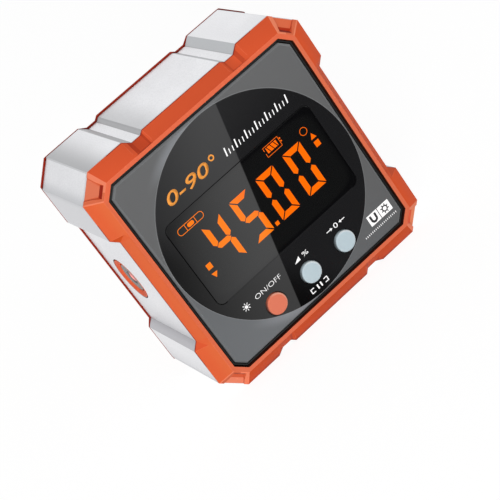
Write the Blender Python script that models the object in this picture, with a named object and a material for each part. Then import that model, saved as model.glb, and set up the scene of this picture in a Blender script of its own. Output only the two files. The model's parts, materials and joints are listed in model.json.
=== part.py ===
"""Digital angle gauge: a grooved aluminium frame clamped between two faceted plastic covers.

The face holds a round lens with a display window and three push buttons, and a laser light
shines out of the middle of the left and of the right side. Metres, +Z up. The face looks
along -Y, and the origin is at the middle of the base.
"""
import math

import bmesh
import bpy
from mathutils import Matrix, Vector

# Overall size
WIDTH = 0.0600
HEIGHT = 0.0600
DEPTH = 0.0300

# Gaps between pieces: at the visible seams, and where one piece seats in another
SEAM = 0.0002
GAP = 0.00025

# Outline of the four measuring sides
CORNER_CUT = 0.0050
TOP_MIDDLE_HALF = 0.0108
TOP_STEP_DEPTH = 0.00075
TOP_STEP_SLOPE = 0.00095
TOP_GROOVE_WIDTH = 0.00235
TOP_GROOVE_DEPTH = 0.00145
TOP_PAD_SLOPE = 0.00175
BASE_GROOVE_DEPTH = 0.00095
SIDE_RECESS_HALF = 0.0140
SIDE_RECESS_SLOPE = 0.0016
SIDE_RECESS_DEPTH = 0.0016

# Aluminium frame
FRAME_WALL = 0.0037
FRAME_INNER_CUT = 0.0030
FRAME_EDGE_BEVEL = 0.00015

# Covers: a short straight rim, a sloping facet and a flat lip
COVER_DEPTH = 0.0028
COVER_RIM = 0.00025
RIDGE_INSET = 0.0034
RIDGE_CUT = 0.0028
NOTCH_END_DROP = 0.0005
NOTCH_END_SHARE = 0.47
TONGUE_LENGTH = 0.0026
TONGUE_THICKNESS = 0.0014
REAR_PROUD = 0.00035
REAR_FIELD_INSET = 0.0050
REAR_FIELD_DEPTH = 0.0004
REAR_FIELD_SLOPE = 0.0003
REAR_FIELD_CUT = 0.0016
REAR_WALL = 0.0020

# Pockets in the corner facets of the covers
POCKET_OUTER_WIDTH = 0.0052
POCKET_INNER_WIDTH = 0.0030
POCKET_REACH = 0.88
POCKET_OUTER_DEPTH = 0.0002
POCKET_INNER_DEPTH = 0.00055
POCKET_WALL_SLOPE = 0.0002
POCKET_END_LEAN = 0.0009
POCKET_OVERRUN = 0.2

# Face panel, its lens disc and its gasket
LIP_WIDTH = 0.0009
LIP_CUT = 0.0025
PANEL_GROOVE = 0.00085
PANEL_DROP = 0.00015
PANEL_THICKNESS = 0.00145
PANEL_BEVEL = 0.0004
DISC_EDGE_MARGIN = 0.0004
DISC_RISE = 0.0001
DISC_BEVEL = 0.00008
GASKET_THICKNESS = 0.0004
GASKET_RIM_DROP = 0.0005
GASKET_REACH = 0.00185
LEDGE_REACH = 0.0025
LEDGE_THICKNESS = 0.0009

# Display
WINDOW_SIDE_MARGIN = 0.00435
WINDOW_TOP_MARGIN = 0.01385
WINDOW_CORNER = 0.0018
WINDOW_GAP = 0.00018
WINDOW_DROP = 0.00005
LCD_SIDE_OVERLAP = 0.0010
LCD_TOP_OVERLAP = 0.0008
LCD_THICKNESS = 0.0012
LIGHT_THICKNESS = 0.0028
LCD_FRAME_WALL = 0.0010
CONTACT_STRIP_HEIGHT = 0.0014
CONTACT_STRIP_MARGIN = 0.0025

# Push buttons and their switches
BUTTON_RADIUS = 0.00245
BUTTON_SPACING = 0.01015
BUTTON_EDGE_MARGIN = 0.00585
BUTTON_RISE = 0.0006
BUTTON_BEVEL = 0.0003
BUTTON_TRAVEL = 0.0005
BUTTON_CLEARANCE = 0.0002
BUTTON_FLANGE_RADIUS = 0.0032
BUTTON_FLANGE_THICKNESS = 0.0007
BUTTON_STEM_RADIUS = 0.0012
SWITCH_WIDTH = 0.0045
SWITCH_BODY_HEIGHT = 0.0016
PLUNGER_RADIUS = 0.0010
PLUNGER_HEIGHT = 0.0008

# Main board and what it carries
BOARD_THICKNESS = 0.0012
POST_RADIUS = 0.0015
POST_X_INSET = 0.0077
POST_Z_INSET = 0.0135
BOARD_SCREW_RADIUS = 0.00055
BOARD_SCREW_HEAD_RADIUS = 0.0013
BOARD_SCREW_HEAD_HEIGHT = 0.0009
BOARD_SCREW_LENGTH = 0.0036
PROCESSOR_SIZE = 0.0070
PROCESSOR_HEIGHT = 0.0010
PROCESSOR_X = -0.0050
PROCESSOR_Z = 0.0090
SENSOR_SIZE = 0.0040
SENSOR_HEIGHT = 0.0009
SENSOR_X = 0.0080
SENSOR_Z = 0.0100
CONNECTOR_WIDTH = 0.0060
CONNECTOR_HEIGHT = 0.0040
CONNECTOR_DEPTH = 0.0034
CONNECTOR_EDGE_MARGIN = 0.0039

# Charging socket, in the recess of the right side
SOCKET_WIDTH = 0.0089
SOCKET_HEIGHT = 0.0032
SOCKET_LENGTH = 0.0073
SOCKET_Z = -0.0102
SOCKET_WALL = 0.0003
SOCKET_POCKET = 0.0060
SOCKET_TONGUE_WIDTH = 0.0067
SOCKET_TONGUE_HEIGHT = 0.0007
SOCKET_TONGUE_DROP = 0.0008
SOCKET_SETBACK = 0.0002

# Shape of every screw head: height of its straight side and radius of its top, as shares
HEAD_SIDE_SHARE = 0.6
HEAD_TOP_SHARE = 0.72

# Corner bosses and the screws that hold the two covers together
BOSS_INSET = 0.0078
BOSS_RADIUS = 0.0023
BOSS_JOINT_DEPTH = 0.0031
SCREW_RADIUS = 0.00085
SCREW_HEAD_RADIUS = 0.00195
SCREW_HEAD_HEIGHT = 0.0011
SCREW_LENGTH = 0.0090
SCREW_SLOT_LENGTH = 0.0022
SCREW_SLOT_WIDTH = 0.0005
SCREW_SLOT_DEPTH = 0.0005

# Battery, on the inside of the rear cover
BATTERY_WIDTH = 0.0240
BATTERY_HEIGHT = 0.0360
BATTERY_THICKNESS = 0.0050
BATTERY_CORNER = 0.0010
BATTERY_PAD_THICKNESS = 0.0008
BATTERY_PAD_MARGIN = 0.0005
BATTERY_RIB = 0.0010
BATTERY_RIB_HEIGHT = 0.0040

# Laser light in each of the two sides
LASER_BACK_INSET = 0.0121
RING_RADIUS = 0.0052
RING_RIM = 0.0002
RING_BORE = 0.0038
RING_SINK_DEPTH = 0.00045
RING_FLANGE_RADIUS = 0.0059
RING_FLANGE_THICKNESS = 0.0008
MODULE_SETBACK = 0.00045
MODULE_LENGTH = 0.0132
MODULE_CAN_RADIUS = 0.0028
MODULE_CAN_LENGTH = 0.0015
MODULE_POCKET_DEPTH = 0.0009
LENS_RADIUS = 0.0015
LENS_EDGE = 0.00035
LENS_CROWN = 0.00025
LENS_STEPS = 3

# Disc magnets behind the pads
MAGNET_RADIUS = 0.0030
MAGNET_THICKNESS = 0.0020
MAGNET_POCKET_OVERRUN = 0.0005

# Levels from the front to the back
FRONT_Y = -DEPTH / 2
BACK_Y = DEPTH / 2
BEZEL_BACK_Y = FRONT_Y + COVER_DEPTH
REAR_COVER_FRONT_Y = BACK_Y - COVER_DEPTH
FRAME_FRONT_Y = BEZEL_BACK_Y + SEAM
FRAME_BACK_Y = REAR_COVER_FRONT_Y - SEAM
PANEL_FRONT_Y = FRONT_Y + PANEL_DROP
PANEL_BACK_Y = PANEL_FRONT_Y + PANEL_THICKNESS
GASKET_FRONT_Y = PANEL_BACK_Y + GAP
GASKET_BACK_Y = GASKET_FRONT_Y + GASKET_THICKNESS
LEDGE_FRONT_Y = GASKET_BACK_Y + GAP
LEDGE_BACK_Y = LEDGE_FRONT_Y + LEDGE_THICKNESS
LCD_FRONT_Y = PANEL_BACK_Y + GAP
LCD_BACK_Y = LCD_FRONT_Y + LCD_THICKNESS
LIGHT_FRONT_Y = LCD_BACK_Y + GAP
LIGHT_BACK_Y = LIGHT_FRONT_Y + LIGHT_THICKNESS
BOARD_FRONT_Y = LIGHT_BACK_Y + GAP
BOARD_BACK_Y = BOARD_FRONT_Y + BOARD_THICKNESS
REAR_FIELD_Y = BACK_Y - REAR_FIELD_DEPTH
REAR_INSIDE_Y = REAR_FIELD_Y - REAR_WALL
BOSS_JOINT_Y = REAR_INSIDE_Y - BOSS_JOINT_DEPTH
LASER_Y = BACK_Y - LASER_BACK_INSET

# Insets from the outer sides
LIP_INSET = RIDGE_INSET + LIP_WIDTH
PANEL_INSET = LIP_INSET + PANEL_GROOVE
GASKET_INSET = LIP_INSET + GAP
GASKET_RIM_INSET = PANEL_INSET - GAP
TONGUE_INSET = FRAME_WALL + GAP
TONGUE_INNER_INSET = TONGUE_INSET + TONGUE_THICKNESS
BOARD_INSET = TONGUE_INNER_INSET + GAP
DISC_RADIUS = min(WIDTH, HEIGHT) / 2 - PANEL_INSET - DISC_EDGE_MARGIN
BUTTON_ROW_Z = PANEL_INSET + BUTTON_EDGE_MARGIN - HEIGHT / 2
CONNECTOR_Z = BOARD_INSET + CONNECTOR_EDGE_MARGIN - HEIGHT / 2

# Display sizes, from the panel's edge inwards
WINDOW_WIDTH = WIDTH - 2 * (PANEL_INSET + WINDOW_SIDE_MARGIN)
WINDOW_HEIGHT = HEIGHT - 2 * (PANEL_INSET + WINDOW_TOP_MARGIN)
LCD_WIDTH = WINDOW_WIDTH + 2 * LCD_SIDE_OVERLAP
LCD_HEIGHT = WINDOW_HEIGHT + 2 * LCD_TOP_OVERLAP
CONTACT_STRIP_WIDTH = LCD_WIDTH - 2 * CONTACT_STRIP_MARGIN

# The middle of a pad, where a magnet sits, measured from the middle of its side
TOP_PAD_EDGE = TOP_MIDDLE_HALF + TOP_STEP_SLOPE + TOP_GROOVE_WIDTH + TOP_PAD_SLOPE
SIDE_PAD_EDGE = SIDE_RECESS_HALF + SIDE_RECESS_SLOPE
TOP_PAD_CENTRE = (TOP_PAD_EDGE + WIDTH / 2 - CORNER_CUT) / 2
SIDE_PAD_CENTRE = (SIDE_PAD_EDGE + HEIGHT / 2 - CORNER_CUT) / 2

# Faces round a circle: fine on what shows, plain inside
FINE_SEGMENTS = 72
ROUND_SEGMENTS = 40
PLAIN_SEGMENTS = 28
SMALL_SEGMENTS = 20

# Colour, roughness and metallic value of each material
MATERIALS = {
    "aluminium": ((0.78, 0.79, 0.80), 0.42, 1.0),
    "orange_plastic": ((0.66, 0.115, 0.035), 0.45, 0.0),
    "panel_print": ((0.13, 0.13, 0.135), 0.4, 0.0),
    "dark_window": ((0.008, 0.009, 0.011), 0.08, 0.0),
    "black_rubber": ((0.012, 0.012, 0.012), 0.8, 0.0),
    "blue_grey_plastic": ((0.50, 0.60, 0.65), 0.4, 0.0),
    "button_orange": ((0.74, 0.20, 0.12), 0.4, 0.0),
    "glass": ((0.55, 0.60, 0.58), 0.05, 0.0),
    "white_plastic": ((0.75, 0.75, 0.72), 0.5, 0.0),
    "board_green": ((0.02, 0.12, 0.05), 0.5, 0.0),
    "chip_black": ((0.015, 0.015, 0.017), 0.6, 0.0),
    "steel": ((0.55, 0.55, 0.56), 0.3, 1.0),
    "nickel": ((0.62, 0.61, 0.58), 0.25, 1.0),
    "battery_film": ((0.50, 0.52, 0.56), 0.35, 0.6),
    "foam": ((0.05, 0.05, 0.055), 0.9, 0.0),
    "laser_grey": ((0.17, 0.17, 0.165), 0.45, 0.4),
    "lens_red": ((0.55, 0.03, 0.03), 0.05, 0.0),
}


def clear_scene():
    for item in list(bpy.data.objects):
        bpy.data.objects.remove(item, do_unlink=True)


def material(name):
    """The named Principled material, made the first time that it is asked for."""
    if name in bpy.data.materials:
        return bpy.data.materials[name]
    colour, roughness, metallic = MATERIALS[name]
    made = bpy.data.materials.new(name)
    made.use_nodes = True
    shader = made.node_tree.nodes["Principled BSDF"]
    shader.inputs["Base Color"].default_value = (*colour, 1.0)
    shader.inputs["Roughness"].default_value = roughness
    shader.inputs["Metallic"].default_value = metallic
    return made


def finish_mesh(name, bm):
    """Turn a closed bmesh into a mesh with its faces pointing out."""
    bmesh.ops.triangulate(bm, faces=[face for face in bm.faces if len(face.verts) > 3])
    bmesh.ops.recalc_face_normals(bm, faces=bm.faces)
    mesh = bpy.data.meshes.new(name)
    bm.to_mesh(mesh)
    bm.free()
    return mesh


def add_piece(name, mesh, finish, location=(0, 0, 0), rotation=(0, 0, 0), smooth=False):
    """Add one named sub-part, placed from the middle of the gauge."""
    piece = bpy.data.objects.new(name, mesh)
    bpy.context.scene.collection.objects.link(piece)
    if not mesh.materials:
        mesh.materials.append(material(finish))
    piece.parent = GAUGE_CENTRE
    piece.location = location
    piece.rotation_euler = rotation
    if smooth:
        mesh.shade_smooth()
        mesh.set_sharp_from_angle(angle=math.radians(30))
    return piece


def shape_with(piece, name, mesh, operation):
    """Join a helper body to a piece, or cut it out of the piece."""
    helper = bpy.data.objects.new(name, mesh)
    bpy.context.scene.collection.objects.link(helper)
    helper.parent = GAUGE_CENTRE
    helper.hide_render = True
    helper.display_type = "WIRE"
    modifier = piece.modifiers.new(name, "BOOLEAN")
    modifier.operation = operation
    modifier.solver = "EXACT"
    modifier.object = helper
    return helper


def side_points(length_half, reach, breaks):
    """One side of an outline from left to right: (along, outward) pairs.

    breaks lists (distance from the middle, depth below the side), from the middle outwards.
    """
    right = [(along, reach - depth) for along, depth in breaks]
    right.append((length_half, reach))
    left = [(-along, out) for along, out in reversed(right)]
    return left + right


def gauge_outline(inset, corner_cut, share=1.0, proud=0.0):
    """The outline (x, z) of the gauge at an inset from its sides.

    share scales the depth of the grooves and recesses, down to a plain octagon at 0, and
    proud fills them by a fixed height. Every outline has the same number of points.
    """
    half_x = WIDTH / 2 - inset
    half_z = HEIGHT / 2 - inset

    def depth(full):
        return max(full - proud, 0.0) * share

    step_end = TOP_MIDDLE_HALF + TOP_STEP_SLOPE
    groove_end = step_end + TOP_GROOVE_WIDTH

    def top_breaks(middle, groove):
        return [
            (TOP_MIDDLE_HALF, depth(middle)),
            (step_end, depth(groove)),
            (groove_end, depth(groove)),
            (TOP_PAD_EDGE, 0.0),
        ]

    side_breaks = [(SIDE_RECESS_HALF, depth(SIDE_RECESS_DEPTH)), (SIDE_PAD_EDGE, 0.0)]
    top = side_points(half_x - corner_cut, half_z, top_breaks(TOP_STEP_DEPTH, TOP_GROOVE_DEPTH))
    base = side_points(half_x - corner_cut, half_z, top_breaks(0.0, BASE_GROOVE_DEPTH))
    side = side_points(half_z - corner_cut, half_x, side_breaks)
    outline = [(along, out) for along, out in top]
    outline += [(out, -along) for along, out in side]
    outline += [(-along, -out) for along, out in base]
    outline += [(-out, along) for along, out in side]
    return outline


def rectangle_outline(width, height, corner=0.0, corner_steps=6, centre=(0.0, 0.0)):
    """A rectangle (x, z) with round corners, or with sharp ones where corner is 0."""
    if corner <= 0.0:
        corner_steps = 0
    points = []
    for quarter in range(4):
        turn = math.pi / 2 * quarter
        side_x = 1 if quarter in (0, 3) else -1
        side_z = 1 if quarter in (0, 1) else -1
        middle_x = centre[0] + side_x * (width / 2 - corner)
        middle_z = centre[1] + side_z * (height / 2 - corner)
        for step in range(corner_steps + 1):
            angle = turn + (math.pi / 2 * step / corner_steps if corner_steps else math.pi / 4)
            points.append((middle_x + corner * math.cos(angle), middle_z + corner * math.sin(angle)))
    return points


def bridge(bm, first, second):
    """Faces between two rings of vertices of the same length."""
    count = len(first)
    for index in range(count):
        following = (index + 1) % count
        bm.faces.new((first[index], first[following], second[following], second[index]))


def cap(bm, ring):
    """Close a ring of vertices: one face for four corners, else a fan from the middle."""
    if len(ring) == 4:
        bm.faces.new(ring)
        return
    middle = sum((vertex.co for vertex in ring), Vector()) / len(ring)
    hub = bm.verts.new(middle)
    for index, vertex in enumerate(ring):
        bm.faces.new((hub, vertex, ring[(index + 1) % len(ring)]))


def add_sections(bm, sections, closed_loop=False):
    """Loft through sections (y, outline); a closed loop of sections makes a ring."""
    rings = []
    for level, outline in sections:
        rings.append([bm.verts.new((x, level, z)) for x, z in outline])
    for first, second in zip(rings, rings[1:]):
        bridge(bm, first, second)
    if closed_loop:
        bridge(bm, rings[-1], rings[0])
    else:
        cap(bm, rings[0])
        cap(bm, rings[-1])


def narrowed_cut(cut, inset):
    """The corner cut left after all eight sides have moved in by the same distance."""
    return cut - (2 - math.sqrt(2)) * inset


def section_mesh(name, sections, closed_loop=False):
    bm = bmesh.new()
    add_sections(bm, sections, closed_loop)
    return finish_mesh(name, bm)


def plate_mesh(name, outline, front, back):
    return section_mesh(name, [(front, outline), (back, outline)])


def add_turned(bm, profile, segments, place, closed_loop=False):
    """Turn a profile of (radius, along) pairs about local Z, and move it with a matrix."""
    rings = []
    for radius, along in profile:
        ring = []
        for step in range(segments):
            angle = 2 * math.pi * step / segments
            point = Vector((radius * math.cos(angle), radius * math.sin(angle), along))
            ring.append(bm.verts.new(place @ point))
        rings.append(ring)
    for first, second in zip(rings, rings[1:]):
        bridge(bm, first, second)
    if closed_loop:
        bridge(bm, rings[-1], rings[0])
    else:
        cap(bm, rings[0])
        cap(bm, rings[-1])


def turned_mesh(name, profile, segments, closed_loop=False):
    bm = bmesh.new()
    add_turned(bm, profile, segments, Matrix.Identity(4), closed_loop)
    return finish_mesh(name, bm)


def add_rods(bm, places, steps, segments):
    """Rods along Y at (x, z) places; steps lists (radius, level) from the front to the back."""
    for x, z in places:
        place = Matrix.Translation((x, 0, z)) @ Matrix.Rotation(-math.pi / 2, 4, "X")
        add_turned(bm, steps, segments, place)


def rods_mesh(name, places, radius, front, back, segments):
    bm = bmesh.new()
    add_rods(bm, places, [(radius, front), (radius, back)], segments)
    return finish_mesh(name, bm)


def corners(x, z):
    return [(x, z), (-x, z), (-x, -z), (x, -z)]


def boss_places():
    return corners(WIDTH / 2 - BOSS_INSET, HEIGHT / 2 - BOSS_INSET)


def post_places():
    """Three board posts: the charging socket takes the place of one at the lower right."""
    return corners(WIDTH / 2 - POST_X_INSET, HEIGHT / 2 - POST_Z_INSET)[:3]


def cover_slope(face_y, back_y, proud):
    """Sections of a cover's outside, from its straight rim to the ridge at face_y."""
    inward = 1 if back_y > face_y else -1
    rim = gauge_outline(0.0, CORNER_CUT, proud=proud)
    end_share = NOTCH_END_DROP / (COVER_DEPTH - COVER_RIM)
    end_inset = RIDGE_INSET * (1 - end_share)
    end_cut = RIDGE_CUT + (CORNER_CUT - RIDGE_CUT) * end_share
    notch_end = gauge_outline(end_inset, end_cut, NOTCH_END_SHARE, proud)
    ridge = gauge_outline(RIDGE_INSET, RIDGE_CUT, 0.0)
    return [
        (back_y, rim),
        (back_y - inward * COVER_RIM, rim),
        (face_y + inward * NOTCH_END_DROP, notch_end),
        (face_y, ridge),
    ]


def add_pockets(bm, face_y, back_y):
    """Cutters for the tapered pockets in the four corner facets of a cover."""
    inward = 1 if back_y > face_y else -1
    for sign_x, sign_z in ((1, 1), (-1, 1), (-1, -1), (1, -1)):
        outer = Vector((
            sign_x * (WIDTH / 2 - CORNER_CUT / 2),
            back_y - inward * COVER_RIM,
            sign_z * (HEIGHT / 2 - CORNER_CUT / 2),
        ))
        ridge = Vector((
            sign_x * (WIDTH / 2 - RIDGE_INSET - RIDGE_CUT / 2),
            face_y,
            sign_z * (HEIGHT / 2 - RIDGE_INSET - RIDGE_CUT / 2),
        ))
        slope = ridge - outer
        along = Vector((sign_x, 0, -sign_z)).normalized()
        normal = slope.cross(along).normalized()
        if normal.dot(Vector((sign_x, 0, sign_z))) < 0:
            normal.negate()
        start = outer - slope * POCKET_OVERRUN
        end = outer + slope * POCKET_REACH
        widen = (POCKET_OUTER_WIDTH - POCKET_INNER_WIDTH) * POCKET_OVERRUN / POCKET_REACH
        above = CORNER_CUT / 4
        lean = slope.normalized() * POCKET_END_LEAN
        rings = []
        for origin, width, depth, step in (
            (start, POCKET_OUTER_WIDTH + widen, POCKET_OUTER_DEPTH, lean * 0),
            (end, POCKET_INNER_WIDTH, POCKET_INNER_DEPTH, lean),
        ):
            top = origin + normal * above + step * (above / depth)
            floor = origin - normal * depth - step
            floor_half = width / 2 - POCKET_WALL_SLOPE
            spread = width / 2 + POCKET_WALL_SLOPE
            rings.append([bm.verts.new(point) for point in (
                top + along * spread, top - along * spread,
                floor - along * floor_half, floor + along * floor_half,
            )])
        bridge(bm, rings[0], rings[1])
        cap(bm, rings[0])
        cap(bm, rings[1])


def stadium_points(length, height, steps=8):
    """A slot outline with round ends, long along its second axis."""
    radius = height / 2
    points = []
    for end in (1, -1):
        for step in range(steps + 1):
            angle = math.pi * step / steps + (0 if end == 1 else math.pi)
            middle = end * (length / 2 - radius)
            points.append((radius * math.cos(angle), middle + radius * math.sin(angle)))
    return points


def add_side_prism(bm, outline, centre_y, centre_z, low_x, high_x):
    """A prism along X with an outline of (y, z) pairs."""
    rings = []
    for level in (low_x, high_x):
        rings.append([bm.verts.new((level, centre_y + y, centre_z + z)) for y, z in outline])
    bridge(bm, rings[0], rings[1])
    cap(bm, rings[0])
    cap(bm, rings[1])


def side_prism(name, outline, low_x, high_x):
    bm = bmesh.new()
    add_side_prism(bm, outline, 0.0, 0.0, low_x, high_x)
    return finish_mesh(name, bm)


def box_mesh(name, low, high):
    outline = rectangle_outline(high[0] - low[0], high[2] - low[2],
                                centre=((low[0] + high[0]) / 2, (low[2] + high[2]) / 2))
    return plate_mesh(name, outline, low[1], high[1])


def build_frame():
    """The aluminium ring, with magnet pockets, two laser holes and the socket opening."""
    outer = gauge_outline(0.0, CORNER_CUT)
    bevelled = gauge_outline(FRAME_EDGE_BEVEL, CORNER_CUT)
    inner = gauge_outline(FRAME_WALL, FRAME_INNER_CUT, 0.0)
    mesh = section_mesh("frame_body", [
        (FRAME_FRONT_Y, bevelled),
        (FRAME_FRONT_Y + FRAME_EDGE_BEVEL, outer),
        (FRAME_BACK_Y - FRAME_EDGE_BEVEL, outer),
        (FRAME_BACK_Y, bevelled),
        (FRAME_BACK_Y, inner),
        (FRAME_FRONT_Y, inner),
    ], closed_loop=True)
    frame = add_piece("frame_body", mesh, "aluminium")

    cuts = bmesh.new()
    pocket_radius = MAGNET_RADIUS + GAP
    pocket = [(pocket_radius, -MAGNET_POCKET_OVERRUN), (pocket_radius, MAGNET_THICKNESS + GAP)]
    for place in magnet_places():
        add_turned(cuts, pocket, SMALL_SEGMENTS, place)
    hole = [(RING_RADIUS + GAP, -FRAME_WALL), (RING_RADIUS + GAP, FRAME_WALL)]
    for side in (-1, 1):
        add_turned(cuts, hole, ROUND_SEGMENTS, laser_place(side))
    slot = stadium_points(SOCKET_WIDTH + 2 * GAP, SOCKET_HEIGHT + 2 * GAP)
    add_side_prism(cuts, slot, socket_y(), SOCKET_Z, WIDTH / 2 - 2 * FRAME_WALL, WIDTH / 2)
    shape_with(frame, "frame_cuts", finish_mesh("frame_cuts", cuts), "DIFFERENCE")


def magnet_places():
    """Placement of each magnet, local Z pointing outwards from the inner wall of the frame."""
    wall_x = WIDTH / 2 - FRAME_WALL
    wall_z = HEIGHT / 2 - FRAME_WALL
    places = []
    for sign in (-1, 1):
        for end in (-1, 1):
            tilt = Matrix.Rotation(0 if end == 1 else math.pi, 4, "X")
            places.append(Matrix.Translation((sign * TOP_PAD_CENTRE, 0, end * wall_z)) @ tilt)
            turn = Matrix.Rotation(end * math.pi / 2, 4, "Y")
            places.append(Matrix.Translation((end * wall_x, 0, sign * SIDE_PAD_CENTRE)) @ turn)
    return places


def laser_place(side):
    """Placement of a laser's pieces: the origin on the side's recess, local Z pointing inwards."""
    surface = side * (WIDTH / 2 - SIDE_RECESS_DEPTH)
    turn = Matrix.Rotation(-side * math.pi / 2, 4, "Y")
    return Matrix.Translation((surface, LASER_Y, 0)) @ turn


def socket_y():
    return BOARD_BACK_Y + GAP + SOCKET_HEIGHT / 2


def tongue_outlines():
    """The outer and the inner face of the wall with which a cover reaches into the frame."""
    outer_cut = narrowed_cut(FRAME_INNER_CUT, GAP)
    inner_cut = narrowed_cut(outer_cut, TONGUE_THICKNESS)
    return gauge_outline(TONGUE_INSET, outer_cut, 0.0), gauge_outline(TONGUE_INNER_INSET, inner_cut, 0.0)


def build_bezel():
    """The front cover: sloped facets, a flat lip, a ledge for the panel, bosses and posts."""
    lip = gauge_outline(LIP_INSET, LIP_CUT, 0.0)
    ledge = gauge_outline(LIP_INSET + LEDGE_REACH, narrowed_cut(LIP_CUT, LEDGE_REACH), 0.0)
    tongue_outer, tongue_inner = tongue_outlines()
    sections = cover_slope(FRONT_Y, BEZEL_BACK_Y, 0.0)
    sections += [
        (FRONT_Y, lip),
        (LEDGE_FRONT_Y, lip),
        (LEDGE_FRONT_Y, ledge),
        (LEDGE_BACK_Y, ledge),
        (LEDGE_BACK_Y, tongue_inner),
        (BEZEL_BACK_Y + TONGUE_LENGTH, tongue_inner),
        (BEZEL_BACK_Y + TONGUE_LENGTH, tongue_outer),
        (BEZEL_BACK_Y, tongue_outer),
    ]
    bezel = add_piece("front_bezel", section_mesh("front_bezel", sections, True), "orange_plastic")

    root = LEDGE_FRONT_Y + LEDGE_THICKNESS / 4
    pillars = bmesh.new()
    boss = [(BOSS_RADIUS, root), (BOSS_RADIUS, BOSS_JOINT_Y - GAP)]
    post = [(POST_RADIUS, root), (POST_RADIUS, BOARD_FRONT_Y - GAP)]
    add_rods(pillars, boss_places(), boss, SMALL_SEGMENTS)
    add_rods(pillars, post_places(), post, SMALL_SEGMENTS)
    shape_with(bezel, "bezel_pillars", finish_mesh("bezel_pillars", pillars), "UNION")
    cuts = bmesh.new()
    bore_front = screw_head_y() - SCREW_LENGTH - GAP
    bore_radius = SCREW_RADIUS + GAP
    add_rods(cuts, boss_places(), [(bore_radius, bore_front), (bore_radius, BACK_Y)], SMALL_SEGMENTS)
    post_bore_front = BOARD_BACK_Y - BOARD_SCREW_LENGTH
    post_bore = BOARD_SCREW_RADIUS + GAP
    post_steps = [(post_bore, post_bore_front), (post_bore, BOARD_BACK_Y)]
    add_rods(cuts, post_places(), post_steps, SMALL_SEGMENTS)
    add_pockets(cuts, FRONT_Y, BEZEL_BACK_Y)
    shape_with(bezel, "bezel_cuts", finish_mesh("bezel_cuts", cuts), "DIFFERENCE")


def screw_head_y():
    """The level on which a rear screw's head seats, with the head behind it."""
    return REAR_FIELD_Y - SCREW_HEAD_HEIGHT - GAP


def build_rear_cover():
    """The back cover: the same facets, a shallow field, a battery rib and screw bosses."""
    field_edge = gauge_outline(REAR_FIELD_INSET, REAR_FIELD_CUT, 0.0)
    field_cut = narrowed_cut(REAR_FIELD_CUT, REAR_FIELD_SLOPE)
    field = gauge_outline(REAR_FIELD_INSET + REAR_FIELD_SLOPE, field_cut, 0.0)
    tongue_outer, tongue_inner = tongue_outlines()
    slope = cover_slope(BACK_Y, REAR_COVER_FRONT_Y, REAR_PROUD)
    sections = [(REAR_FIELD_Y, field), (BACK_Y, field_edge)]
    sections += list(reversed(slope))
    sections += [
        (REAR_COVER_FRONT_Y, tongue_outer),
        (REAR_COVER_FRONT_Y - TONGUE_LENGTH, tongue_outer),
        (REAR_COVER_FRONT_Y - TONGUE_LENGTH, tongue_inner),
        (REAR_INSIDE_Y, tongue_inner),
    ]
    cover = add_piece("rear_cover", section_mesh("rear_cover", sections), "orange_plastic")

    rib_inner = rectangle_outline(BATTERY_WIDTH + 2 * GAP, BATTERY_HEIGHT + 2 * GAP, BATTERY_CORNER)
    rib_outer = rectangle_outline(BATTERY_WIDTH + 2 * (GAP + BATTERY_RIB),
                                  BATTERY_HEIGHT + 2 * (GAP + BATTERY_RIB), BATTERY_CORNER)
    root = REAR_INSIDE_Y + REAR_WALL / 4
    rib_front = REAR_INSIDE_Y - BATTERY_RIB_HEIGHT
    inside = bmesh.new()
    add_sections(inside, [
        (rib_front, rib_outer), (root, rib_outer), (root, rib_inner), (rib_front, rib_inner),
    ], closed_loop=True)
    add_rods(inside, boss_places(), [(BOSS_RADIUS, BOSS_JOINT_Y), (BOSS_RADIUS, root)], SMALL_SEGMENTS)
    shape_with(cover, "cover_inside", finish_mesh("cover_inside", inside), "UNION")
    cuts = bmesh.new()
    shaft = SCREW_RADIUS + GAP
    sink = SCREW_HEAD_RADIUS + GAP
    seat = screw_head_y() - GAP
    stepped = [(shaft, 0.0), (shaft, seat), (sink, seat), (sink, BACK_Y + COVER_DEPTH)]
    add_rods(cuts, boss_places(), stepped, SMALL_SEGMENTS)
    add_pockets(cuts, BACK_Y, REAR_COVER_FRONT_Y)
    shape_with(cover, "cover_cuts", finish_mesh("cover_cuts", cuts), "DIFFERENCE")


def button_places():
    return {"power": -BUTTON_SPACING, "hold": 0.0, "zero": BUTTON_SPACING}


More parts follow.
